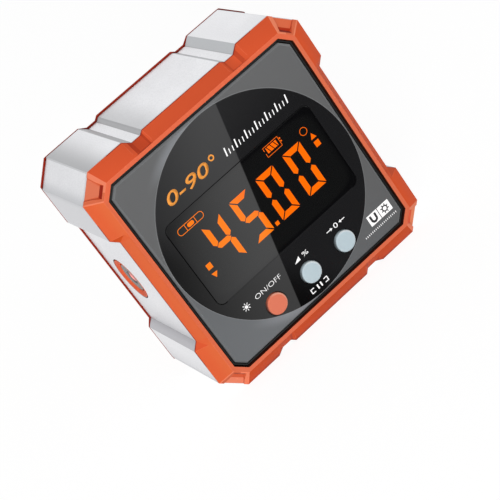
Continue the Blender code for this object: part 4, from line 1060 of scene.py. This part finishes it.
def cells_and_signs():
    """Two white cells on the grey print, their dark signs, and a fine row of ticks under them."""
    marks = Marks("label_cells", PANEL_FRONT, WHITE_INK, "panel_print")
    low, high = -21.1, -18.5
    marks.bar(17.05, low, 20.0, high)
    marks.bar(20.2, low, 23.4, high)
    start, pitch, width = 14.4, 0.5, 0.16
    for step in range(19):
        x = start + step * pitch
        marks.bar(x, -22.4, x + width, -22.0)
    marks.done()
    signs = Marks("label_signs", PANEL_FRONT - PRINT_PROUD, DARK_INK, "panel_print")
    arch_x, arch_z, top = 18.52, -19.9, -18.85
    outer = half_round(arch_x, arch_z, 0.95)
    inner = half_round(arch_x, arch_z, 0.42)
    signs.shape([(19.47, top)] + outer[1:-1] + [(17.57, top), (18.10, top)]
                + inner[::-1][1:-1] + [(18.94, top)])
    sun_x, sun_z = 21.8, -19.8
    signs.loop(sun_x, sun_z, 0.62, 0.28)
    signs.rays(sun_x, sun_z, 0.72, 1.12, 0.22, turned=0.5)
    signs.done()


# Studio

CAMERA_PLACE = Vector((-0.092317, -0.337915, 0.175734))
CAMERA_AIM = Vector((-0.00802, -0.015, 0.02447))
CAMERA_ROLL = math.radians(-36.096)
CAMERA_LENS = 126.45
SENSOR_WIDTH = 36.0
WHITE = (1.0, 1.0, 1.0, 1.0)


def place_camera():
    """The photograph's view: from the upper left, rolled so that the gauge stands on a corner."""
    lens = bpy.data.cameras.new("photo_camera")
    lens.sensor_width = SENSOR_WIDTH
    lens.lens = CAMERA_LENS
    lens.clip_start, lens.clip_end = 0.01, 20.0
    camera = bpy.data.objects.new("photo_camera", lens)
    bpy.context.scene.collection.objects.link(camera)
    back = (CAMERA_PLACE - CAMERA_AIM).normalized()
    level = Vector((0.0, 0.0, 1.0)).cross(back).normalized()
    up = back.cross(level)
    across = level * math.cos(CAMERA_ROLL) + up * math.sin(CAMERA_ROLL)
    columns = Matrix((across, back.cross(across), back)).transposed()
    camera.matrix_world = Matrix.Translation(CAMERA_PLACE) @ columns.to_4x4()
    bpy.context.scene.camera = camera


def flat_sheet(name, left, near, right, far, height, material):
    """A flat level sheet of the studio, from its left near corner to its right far one."""
    corners = [(left, near, height), (right, near, height), (right, far, height),
               (left, far, height)]
    mesh = bpy.data.meshes.new(name)
    mesh.from_pydata(corners, [], [(0, 1, 2, 3)])
    mesh.materials.append(material)
    sheet = bpy.data.objects.new(name, mesh)
    bpy.context.scene.collection.objects.link(sheet)
    return sheet


def seen_direct(finish):
    """1 for camera, glossy and transmission rays, which see the pale studio as white."""
    light = finish.node("ShaderNodeLightPath").socket.node
    names = ("Is Camera Ray", "Is Glossy Ray", "Is Transmission Ray")
    camera, glossy, through = [Value(finish, light.outputs[name]) for name in names]
    return (camera + glossy + through).clamped()


def lay_floor():
    """A plain pale floor that keeps the gauge's shadow."""
    finish = Finish("studio_floor")
    cloud = finish.grain(9.0)
    tone = finish.mixed(cloud, (0.86, 0.86, 0.86), (0.90, 0.90, 0.90))
    cloth = finish.node("ShaderNodeBsdfDiffuse", inputs={"Color": tone})
    glow = finish.node("ShaderNodeEmission", inputs={"Color": WHITE, "Strength": 1.13})
    share = seen_direct(finish) * 0.8
    both = finish.node("ShaderNodeMixShader", inputs={0: share, 1: cloth, 2: glow})
    finish.node("ShaderNodeOutputMaterial", inputs={"Surface": both})
    reach = 4.0
    floor = flat_sheet("floor", -reach, -reach, reach, reach, 0.0, finish.material)


# The edge between light and dark that the gloss of the face shows is a line on a card near the
# floor, x = CARD_SLOPE * y + CARD_START, with the dark to its right. To the left the light fades.
CARD_SLOPE = -0.3828
CARD_START = -13.38 * MM
CARD_FADE = 38.0 * MM
CARD_LEFT, CARD_RIGHT = -0.10, 0.16
CARD_NEAR, CARD_FAR = -0.20, -0.0158
CARD_HEIGHT = 0.4 * MM


def hang_card():
    """A card that only reflections see, dark to the right of its edge and fading to the left."""
    finish = Finish("reflector_card")
    x, y, _ = finish.split(finish.place())
    out = x - y * CARD_SLOPE - CARD_START
    fade = out.ease(-CARD_FADE, 0.0, 0.05, 1.0)
    lit = out.ease(-0.15 * MM, 0.15 * MM, 1.0, 0.0)
    shade = finish.mixed((fade * lit).clamped(), (0.0, 0.0, 0.0), (1.0, 1.0, 1.0))
    glow = finish.node("ShaderNodeEmission", inputs={"Color": shade, "Strength": 1.0})
    finish.node("ShaderNodeOutputMaterial", inputs={"Surface": glow})
    card = flat_sheet("reflector_card", CARD_LEFT, CARD_NEAR, CARD_RIGHT, CARD_FAR, CARD_HEIGHT,
                      finish.material)
    for rays in ("camera", "diffuse", "shadow", "transmission", "volume_scatter"):
        setattr(card, "visible_" + rays, False)


def fill_studio():
    """White walls for what looks at them and a soft grey level for the light they give."""
    world = bpy.data.worlds.new("studio")
    world.use_nodes = True
    bpy.context.scene.world = world
    air = Finish("studio", world.node_tree)
    soft = air.node("ShaderNodeBackground", inputs={"Color": WHITE, "Strength": 0.42})
    white = air.node("ShaderNodeBackground", inputs={"Color": WHITE, "Strength": 1.0})
    both = air.node("ShaderNodeMixShader", inputs={0: seen_direct(air), 1: soft, 2: white})
    air.node("ShaderNodeOutputWorld", inputs={"Surface": both})


def hang_lamp(name, place, aim, size, power):
    """A square soft lamp that reflections don't show."""
    lamp = bpy.data.lights.new(name, "AREA")
    lamp.shape = "SQUARE"
    lamp.size = size
    lamp.energy = power
    holder = bpy.data.objects.new(name, lamp)
    bpy.context.scene.collection.objects.link(holder)
    holder.location = place
    holder.rotation_euler = (Vector(aim) - Vector(place)).to_track_quat("-Z", "Y").to_euler()
    holder.visible_glossy = False


bpy.context.scene.view_settings.view_transform = "Standard"
place_camera()
fill_studio()
lay_floor()
hang_card()
hang_lamp("soft_box", place=(-0.55, -1.10, 0.22), aim=(0.0, 0.0, 0.03), size=0.4, power=10.0)
dress_nodes()
window_foot()
rear_corner_rims()
display_figures()
display_symbols()
face_legend_orange()
face_legend_white()
cells_and_signs()
